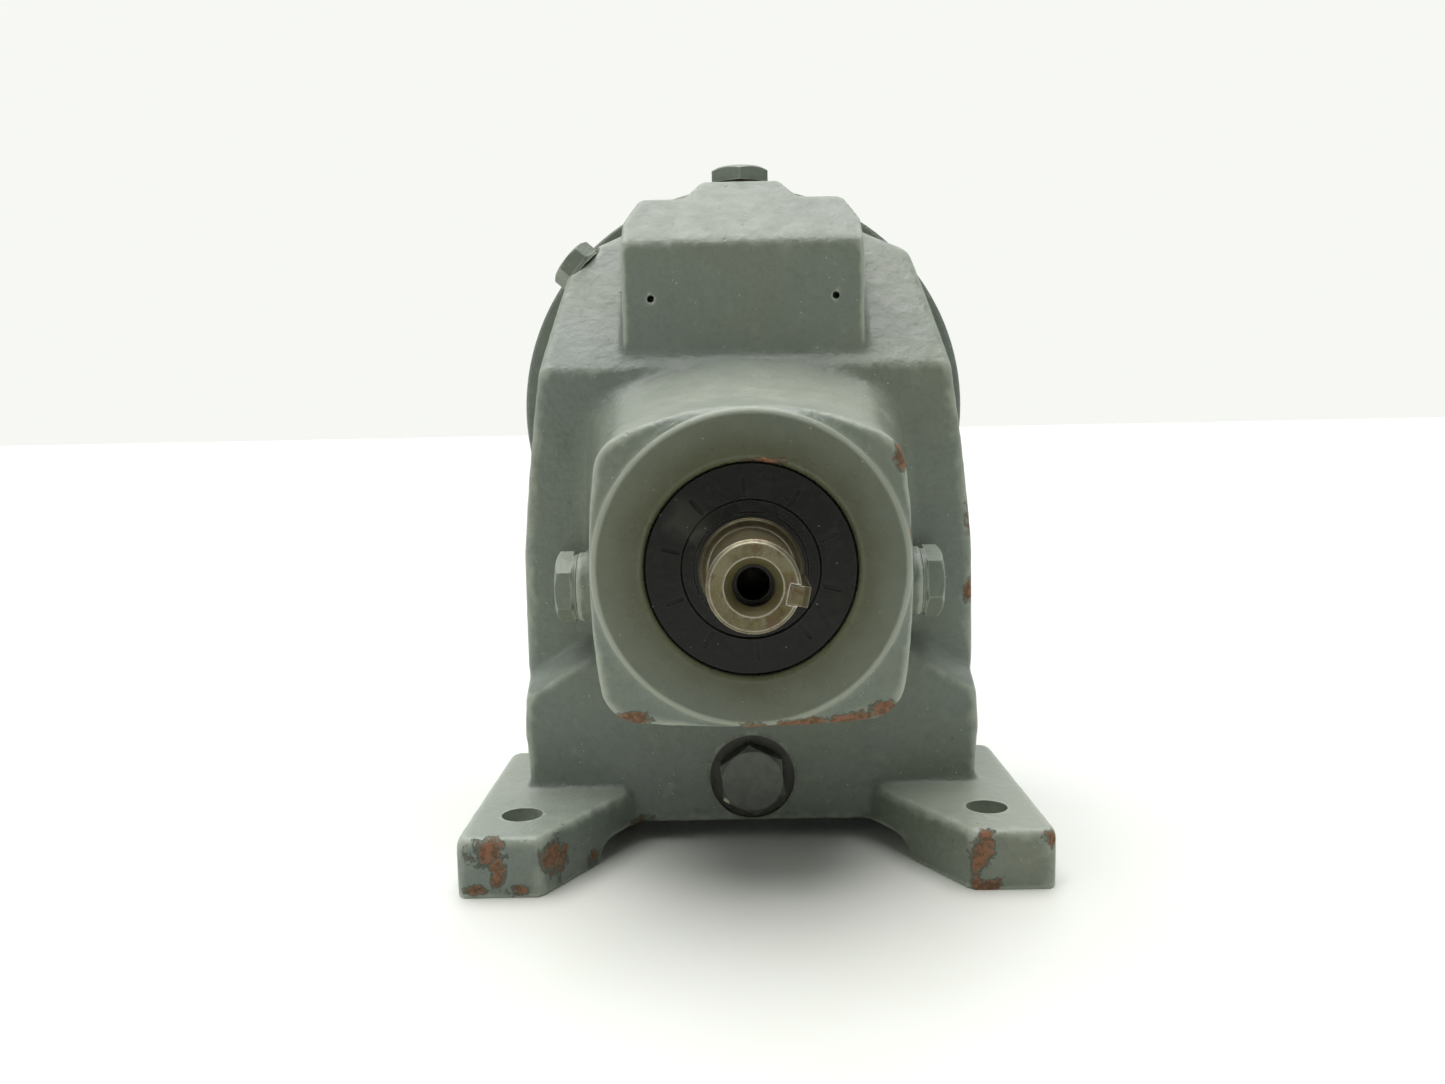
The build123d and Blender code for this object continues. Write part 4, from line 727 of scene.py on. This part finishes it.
def cast_paint(name, casting, with_marks=False):
    """Grey-green paint on iron, worn and given a painted highlight on its edges, with dust and a painted
    top light on faces that look up; a casting also gets painted shade and grime in its corners.
    """
    paint = Finish(name)
    clouds = paint.grain(CLOUD_SIZE, 3)
    patches = paint.grain(PATCH_SIZE, 4, roughness=0.6)
    peel = paint.grain(PEEL_SIZE, 4, roughness=0.6)
    pits = paint.dots(PIT_SPACING, PIT_R)
    colour = paint.mix(paint.ramp(clouds, 0.3, 0.7), PAINT_COOL, PAINT_WARM)
    colour = paint.mix(paint.ramp(patches, 0.52, 0.8, 0.0, 0.45), colour, PAINT_DUSTY)
    colour = paint.mix(paint.ramp(patches, 0.45, 0.2, 0.0, 0.35), colour, PAINT_DARK)
    colour = paint.mix(paint.ramp(peel, 0.55, 0.35, 0.0, 0.22), colour, PAINT_DARK)
    # dust on faces that look up, also a painted top light that brightens level tops
    dust_and_top_light = paint.times(paint.upward(), paint.ramp(clouds, 0.25, 0.65, 0.35, 0.6))
    colour = paint.mix(dust_and_top_light, colour, DUST_AND_TOP_LIGHT)
    specks = paint.times(paint.dots(SPECK_SPACING, SPECK_R), paint.ramp(patches, 0.46, 0.56))
    colour = paint.mix(paint.times(specks, SPECK_SHARE), colour, SPECK)
    if casting:
        edge = paint.plus(paint.pointedness(), paint.times(patches, 0.035))
        worn = paint.ramp(edge, 0.521, 0.552)
        # inner corners darkened: grime and painted shade
        corner_shade_and_grime = paint.ramp(edge, 0.505, 0.46)
        colour = paint.mix(paint.times(corner_shade_and_grime, SHADE_AND_GRIME_SHARE), colour, GRIME_AND_SHADE)
    else:
        worn = paint.times(paint.edges(PAINT_EDGE), paint.ramp(patches, 0.25, 0.55))
    # edges lightened as worn paint and as a painted highlight
    colour = paint.mix(paint.times(worn, WORN_AND_HIGHLIGHT_SHARE), colour, PAINT_WORN_AND_HIGHLIGHT)
    gloss = paint.ramp(patches, 0.3, 0.7, 0.34, 0.50)
    height = paint.plus(peel, paint.times(paint.grain(DIMPLE_SIZE, 2), 1.6))
    height = paint.plus(height, specks)
    height = paint.minus(height, paint.times(pits, 0.7))
    if with_marks:
        colour, gloss, height = oil_marks(paint, colour, gloss, height, patches)
        colour, gloss, height = rust_marks(paint, colour, gloss, height)
    return paint.set(colour, gloss, height, PAINT_RELIEF)


def oil_marks(paint, colour, gloss, height, patches):
    """Oil on the turned face, painted shade and oil in the drain plug's sunken seat, and a painted
    highlight line along the face's rim.
    """
    from_axis = paint.from_output_axis()
    front = paint.ramp(paint.component(paint.place, "Y"), BOSS_PLANE_Y, BOSS_PLANE_Y + 1 * MM, 1.0, 0.0)
    within = paint.ramp(from_axis, TURNED_R - 1 * MM, TURNED_R + 1 * MM, 1.0, 0.0)
    turned = paint.times(front, within)
    reach = paint.plus(from_axis, paint.times(paint.grain(OIL_CLOUD_SIZE, 3), OIL_WANDER))
    oiled = paint.ramp(reach, SEAL_R + OIL_REACH[0], SEAL_R + OIL_REACH[1], 0.85, 0.42)
    oiled = paint.times(oiled, turned)
    colour = paint.mix(oiled, colour, OIL_STAIN)
    # painted highlight along the turned face's rim, in the worn-paint colour
    from_rim = paint.calc("ABSOLUTE", paint.minus(from_axis, RIM_LINE_R))
    from_rim = paint.plus(from_rim, paint.times(patches, RIM_LINE_WANDER))
    rim_highlight = paint.times(front, paint.ramp(from_rim, *RIM_LINE_FADE, 0.5, 0.0))
    colour = paint.mix(rim_highlight, colour, PAINT_WORN_AND_HIGHLIGHT)
    height = paint.times(height, paint.minus(1.0, paint.times(turned, TURNED_SMOOTHING)))
    gloss = paint.minus(gloss, paint.times(oiled, OIL_SHINE))
    # the drain plug's sunken seat darkened nearly to black: painted shade and oil
    drain = paint.ramp(paint.distance((0, LOWER_FRONT_Y, DRAIN_Z)), *DRAIN_SHADE_AND_OIL_FADE, 0.93, 0.0)
    colour = paint.mix(drain, colour, GRIME_AND_SHADE)
    return colour, gloss, height


def rust_marks(paint, colour, gloss, height):
    """Ragged rust where the paint has come off, with a dark edge around it."""
    rust = 0.0
    for centre, radius, squash in rust_places():
        near = paint.ramp(paint.distance(centre, squash), 0.0, radius * RUST_SPREAD, RUST_STRENGTH, 0.0)
        rust = paint.larger(rust, near)
    drips = paint.grain(1.0, 3, vector=paint.stretched(*DRIP_RATES))
    rust = paint.plus(rust, paint.times(drips, DRIP_STRENGTH))
    rust = paint.plus(rust, paint.grain(RUST_SIZE, 8, roughness=0.75))
    bare = paint.ramp(rust, 1.01, 1.07)
    rim = paint.ramp(rust, 0.97, 1.03)
    mottle = paint.ramp(paint.grain(RUST_MOTTLE_SIZE, 5, roughness=0.7), 0.40, 0.62)
    tone = paint.mix(mottle, RUST_DARK, RUST_BRIGHT)
    colour = paint.mix(paint.times(rim, 0.4), colour, RUST_EDGE)
    colour = paint.mix(bare, colour, tone)
    gloss = paint.plus(gloss, paint.times(bare, 0.35), clamp=True)
    height = paint.minus(height, paint.times(rim, 1.2))
    return colour, gloss, height


def turned_steel(name, clean, film, oiliness, relief=FINE_RELIEF):
    """Turned steel under a patchy film of old oil, with brown stains, worn-bright edges with a painted
    highlight, and painted shade in the centre hole.
    """
    steel = Finish(name, metallic=1.0)
    smear = steel.grain(SMEAR_SIZE, 4, roughness=0.55)
    fine = steel.grain(0.9 * MM, 3)
    patchy = steel.plus(smear, steel.times(steel.minus(fine, 0.5), 0.25))
    colour = steel.mix(steel.ramp(patchy, 0.70 - oiliness * 0.5, 0.95 - oiliness * 0.3), clean, film)
    stain = steel.ramp(steel.grain(STAIN_SIZE, 6, roughness=0.72), 0.50, 0.60, 0.0, oiliness)
    colour = steel.mix(stain, colour, STEEL_STAIN)
    radius = steel.from_output_axis()
    sunk = steel.ramp(radius, COUNTERSINK_R, COUNTERSINK_R + 0.2 * MM, 0.9, 0.0)
    colour = steel.mix(sunk, colour, SUNK_OIL)
    # edges lightened and made less metallic: worn-bright steel and a painted highlight
    edge = steel.times(steel.edges(STEEL_EDGE), steel.ramp(fine, 0.2, 0.5))
    edge = steel.times(edge, 0.8)
    colour = steel.mix(edge, colour, BRIGHT_STEEL_AND_EDGE_HIGHLIGHT)
    matt = steel.larger(steel.times(edge, 0.75), steel.times(stain, 0.7))
    matt = steel.larger(matt, steel.times(sunk, 0.75))
    steel.feed(steel.shader.inputs["Metallic"], steel.minus(1.0, matt))
    rings = steel.grain(1.0, 1, vector=steel.stretched(*RING_RATES))
    within = steel.ramp(radius, JOURNAL_R + 0.5 * MM, JOURNAL_R + 1.5 * MM, 0.75, 0.0)
    on_journal = steel.times(steel.ramp(radius, SHAFT_R + 0.4 * MM, SHAFT_R + 1.2 * MM), within)
    colour = steel.mix(on_journal, colour, JOURNAL_OIL)
    # the centre hole darkened to nearly black as painted shade
    in_hole = steel.ramp(radius, CENTRE_HOLE_R, CENTRE_HOLE_R + 0.3 * MM, 0.96, 0.0)
    colour = steel.mix(in_hole, colour, CENTRE_HOLE_SHADE)
    turning = steel.new("ShaderNodeTexNoise", noise_dimensions="1D")
    steel.feed(turning.inputs["W"], steel.times(radius, FACE_RING_RATE))
    height = steel.plus(rings, turning.outputs["Fac"])
    height = steel.plus(height, steel.times(smear, 1.2))
    gloss = steel.ramp(steel.plus(smear, steel.times(fine, 0.3)), 0.4, 0.9, 0.34, 0.52)
    return steel.set(colour, gloss, height, relief)


def dark_steel(name, base, worn, chip=None):
    """Blackened steel, rubbed bright on its corners."""
    steel = Finish(name, metallic=0.5)
    smear = steel.grain(5 * MM, 4, roughness=0.6)
    colour = steel.mix(steel.ramp(smear, 0.3, 0.75), base, [c * 1.7 for c in base[:3]] + [1])
    edge = steel.times(steel.edges(OXIDE_EDGE), steel.ramp(smear, 0.35, 0.6))
    colour = steel.mix(steel.times(edge, 0.6), colour, worn)
    if chip is not None:
        ragged = steel.plus(steel.distance(chip), steel.times(smear, CHIP_RAGGEDNESS))
        colour = steel.mix(steel.ramp(ragged, *CHIP_FADE, 1.0, 0.0), colour, CHIP)
    gloss = steel.ramp(smear, 0.3, 0.7, 0.34, 0.52)
    return steel.set(colour, gloss, steel.grain(1.0 * MM, 3), FINE_RELIEF)


def rubber(name):
    """Black moulded rubber, shiny with oil and dusty in patches, with a painted highlight on its edges and
    painted shade in its sunken notches.
    """
    black = Finish(name)
    black.shader.inputs["Specular IOR Level"].default_value = 0.25
    smear = black.grain(SMEAR_SIZE, 4, roughness=0.65, distortion=0.8)
    colour = black.mix(black.ramp(smear, 0.45, 0.8, 0.0, 0.4), RUBBER, RUBBER_DUSTY)
    dusty = black.plus(black.distance(DUSTY_PLACE), black.times(smear, DUSTY_RAGGEDNESS))
    colour = black.mix(black.ramp(dusty, *DUSTY_FADE, 0.75, 0.0), colour, RUBBER_DUSTY)
    # the seal's edges lightened as a painted highlight
    corner = black.edges(RUBBER_EDGE_WIDTH)
    colour = black.mix(black.times(corner, 0.35), colour, RUBBER_EDGE_HIGHLIGHT)
    # the seal's parts sunk behind its face, outside the notches' start radius, kept plain black as painted
    # shade
    behind_face = black.minus(black.component(black.place, "Y"), SEAL_FACE_Y)
    sunk = black.ramp(behind_face, *NOTCH_FADE, 0.0, 0.9)
    past_start = black.ramp(black.from_output_axis(), SEAL_NOTCH_START_R - 0.5 * MM, SEAL_NOTCH_START_R)
    colour = black.mix(black.times(sunk, past_start), colour, RUBBER)
    specks = black.times(black.dots(5 * MM, 0.3 * MM), 0.35)
    colour = black.mix(specks, colour, SPECK)
    gloss = black.ramp(smear, 0.3, 0.75, 0.2, 0.5)
    return black.set(colour, gloss, black.grain(2.5 * MM, 3), FINE_RELIEF)


def fibre(name, base):
    """Pressed gasket or washer fibre."""
    sheet = Finish(name)
    strands = sheet.grain(STRAND_SIZE, 4, roughness=0.7)
    colour = sheet.mix(sheet.ramp(strands, 0.3, 0.7), base, [c * 1.6 for c in base[:3]] + [1])
    gloss = sheet.ramp(strands, 0.3, 0.7, 0.65, 0.85)
    return sheet.set(colour, gloss, strands, FINE_RELIEF)


def build_finishes():
    """One material for each of the record's slots, put on every piece that is seen."""
    chip = plug_low + DRAIN_CHIP
    finishes = {
        "grey_green_paint": cast_paint("grey_green_paint", casting=False),
        "machined_steel": turned_steel("machined_steel", CLEAN_STEEL, OIL_FILM, 0.8),
        "gear_steel": turned_steel("gear_steel", CLEAN_STEEL, OIL_FILM, 0.4),
        "bearing_steel": turned_steel("bearing_steel", BRIGHT_STEEL_AND_EDGE_HIGHLIGHT, CLEAN_STEEL, 0.2, 0.02 * MM),
        "seal_rubber": rubber("seal_rubber"),
        "gasket_paper": fibre("gasket_paper", GASKET),
        "black_oxide_steel": dark_steel("black_oxide_steel", BLACK_OXIDE, OXIDE_WORN),
        "washer_metal": fibre("washer_metal", WASHER),
    }
    for node, obj in shown.items():
        obj.data.materials.clear()
        obj.data.materials.append(finishes[SLOT_OF[node]])
    shown["housing"].data.materials[0] = cast_paint("housing_paint", casting=True, with_marks=True)
    shown["rear_cover"].data.materials[0] = cast_paint("cover_paint", casting=True)
    shown["drain_plug"].data.materials[0] = dark_steel("drain_steel", BLACK_OXIDE, OXIDE_WORN, chip)


# ---------------------------------------------------------------- floor, light and camera
def build_floor():
    """A pale, slightly cloudy board under everything."""
    corners = [(-FLOOR_SIZE, -FLOOR_SIZE, 0), (FLOOR_SIZE, -FLOOR_SIZE, 0)]
    corners += [(FLOOR_SIZE, FLOOR_SIZE, 0), (-FLOOR_SIZE, FLOOR_SIZE, 0)]
    floor = mesh_object("floor", corners, [(0, 1, 2, 3)])
    board = Finish("pale_floor")
    cloud = board.grain(180 * MM, 4)
    colour = board.mix(board.ramp(cloud, 0.3, 0.7), BOARD_LIGHT, BOARD_SHADED)
    material = board.set(colour, 0.5, board.grain(3 * MM, 2), 0.02 * MM)
    floor.data.materials.append(material)


def add_light(name, kind, place, target, strength, **settings):
    """A light at a place, aimed at a target."""
    light = bpy.data.lights.new(name, kind)
    light.energy = strength
    for key, value in settings.items():
        setattr(light, key, value)
    obj = bpy.data.objects.new(name, light)
    bpy.context.scene.collection.objects.link(obj)
    obj.location = place
    obj.rotation_euler = (Vector(target) - Vector(place)).to_track_quat("-Z", "Y").to_euler()


def build_lights():
    """A soft ceiling, a weak window from the left, and the room around them."""
    middle = (0, 0, 0.12)
    add_light("ceiling", "SUN", (-0.12, 0.12, 1.6), middle, strength=3.0, angle=math.radians(62))
    add_light("window", "AREA", (-1.2, -0.9, 1.2), middle, strength=2.0, shape="DISK", size=1.2)
    build_world()


def build_world():
    """A room that is dim in front of the gearbox and light behind it, on a pale background."""
    world = bpy.data.worlds.new("studio")
    bpy.context.scene.world = world
    world.use_nodes = True
    nodes, links = world.node_tree.nodes, world.node_tree.links
    nodes.clear()
    out = nodes.new("ShaderNodeOutputWorld")
    mix = nodes.new("ShaderNodeMixShader")
    path = nodes.new("ShaderNodeLightPath")
    room = nodes.new("ShaderNodeBackground")
    backdrop = nodes.new("ShaderNodeBackground")
    room.inputs["Color"].default_value = ROOM
    backdrop.inputs["Color"].default_value = BACKDROP
    facing = nodes.new("ShaderNodeVectorMath")
    facing.operation = "DOT_PRODUCT"
    facing.inputs[1].default_value = BRIGHT_SIDE
    links.new(nodes.new("ShaderNodeTexCoord").outputs["Generated"], facing.inputs[0])
    level = nodes.new("ShaderNodeMapRange")
    for name, value in (("From Min", -0.4), ("From Max", 0.9), ("To Min", 0.06), ("To Max", 0.85)):
        level.inputs[name].default_value = value
    links.new(facing.outputs["Value"], level.inputs["Value"])
    links.new(level.outputs["Result"], room.inputs["Strength"])
    links.new(room.outputs[0], mix.inputs[1])
    links.new(backdrop.outputs[0], mix.inputs[2])
    links.new(path.outputs["Is Camera Ray"], mix.inputs["Fac"])
    links.new(mix.outputs[0], out.inputs["Surface"])


def build_camera():
    """The camera in front of the output shaft, a little above it and tilted down."""
    camera = bpy.data.cameras.new("camera")
    camera.sensor_width = SENSOR_MM
    camera.lens = LENS_MM
    camera.clip_start = 0.01
    obj = bpy.data.objects.new("camera", camera)
    bpy.context.scene.collection.objects.link(obj)
    turn = Matrix.Rotation(math.radians(CAMERA_TURN), 4, "Z")
    tilt = Matrix.Rotation(math.radians(90 - CAMERA_DOWN), 4, "X")
    roll = Matrix.Rotation(math.radians(CAMERA_ROLL), 4, "Z")
    obj.matrix_world = Matrix.Translation(CAMERA_PLACE) @ turn @ tilt @ roll
    bpy.context.scene.camera = obj


build_housing()
build_rear_cover()
for node in PLUGS:
    eased(node, PLUG_BEVEL, PLUG_BEVEL_STEPS)
for node in FINE_PIECES:
    eased(node, FINE_BEVEL)
eased("input_flange", FLANGE_BEVEL)
build_finishes()
build_floor()
build_lights()
build_camera()
bpy.context.scene.view_settings.view_transform = "Standard"
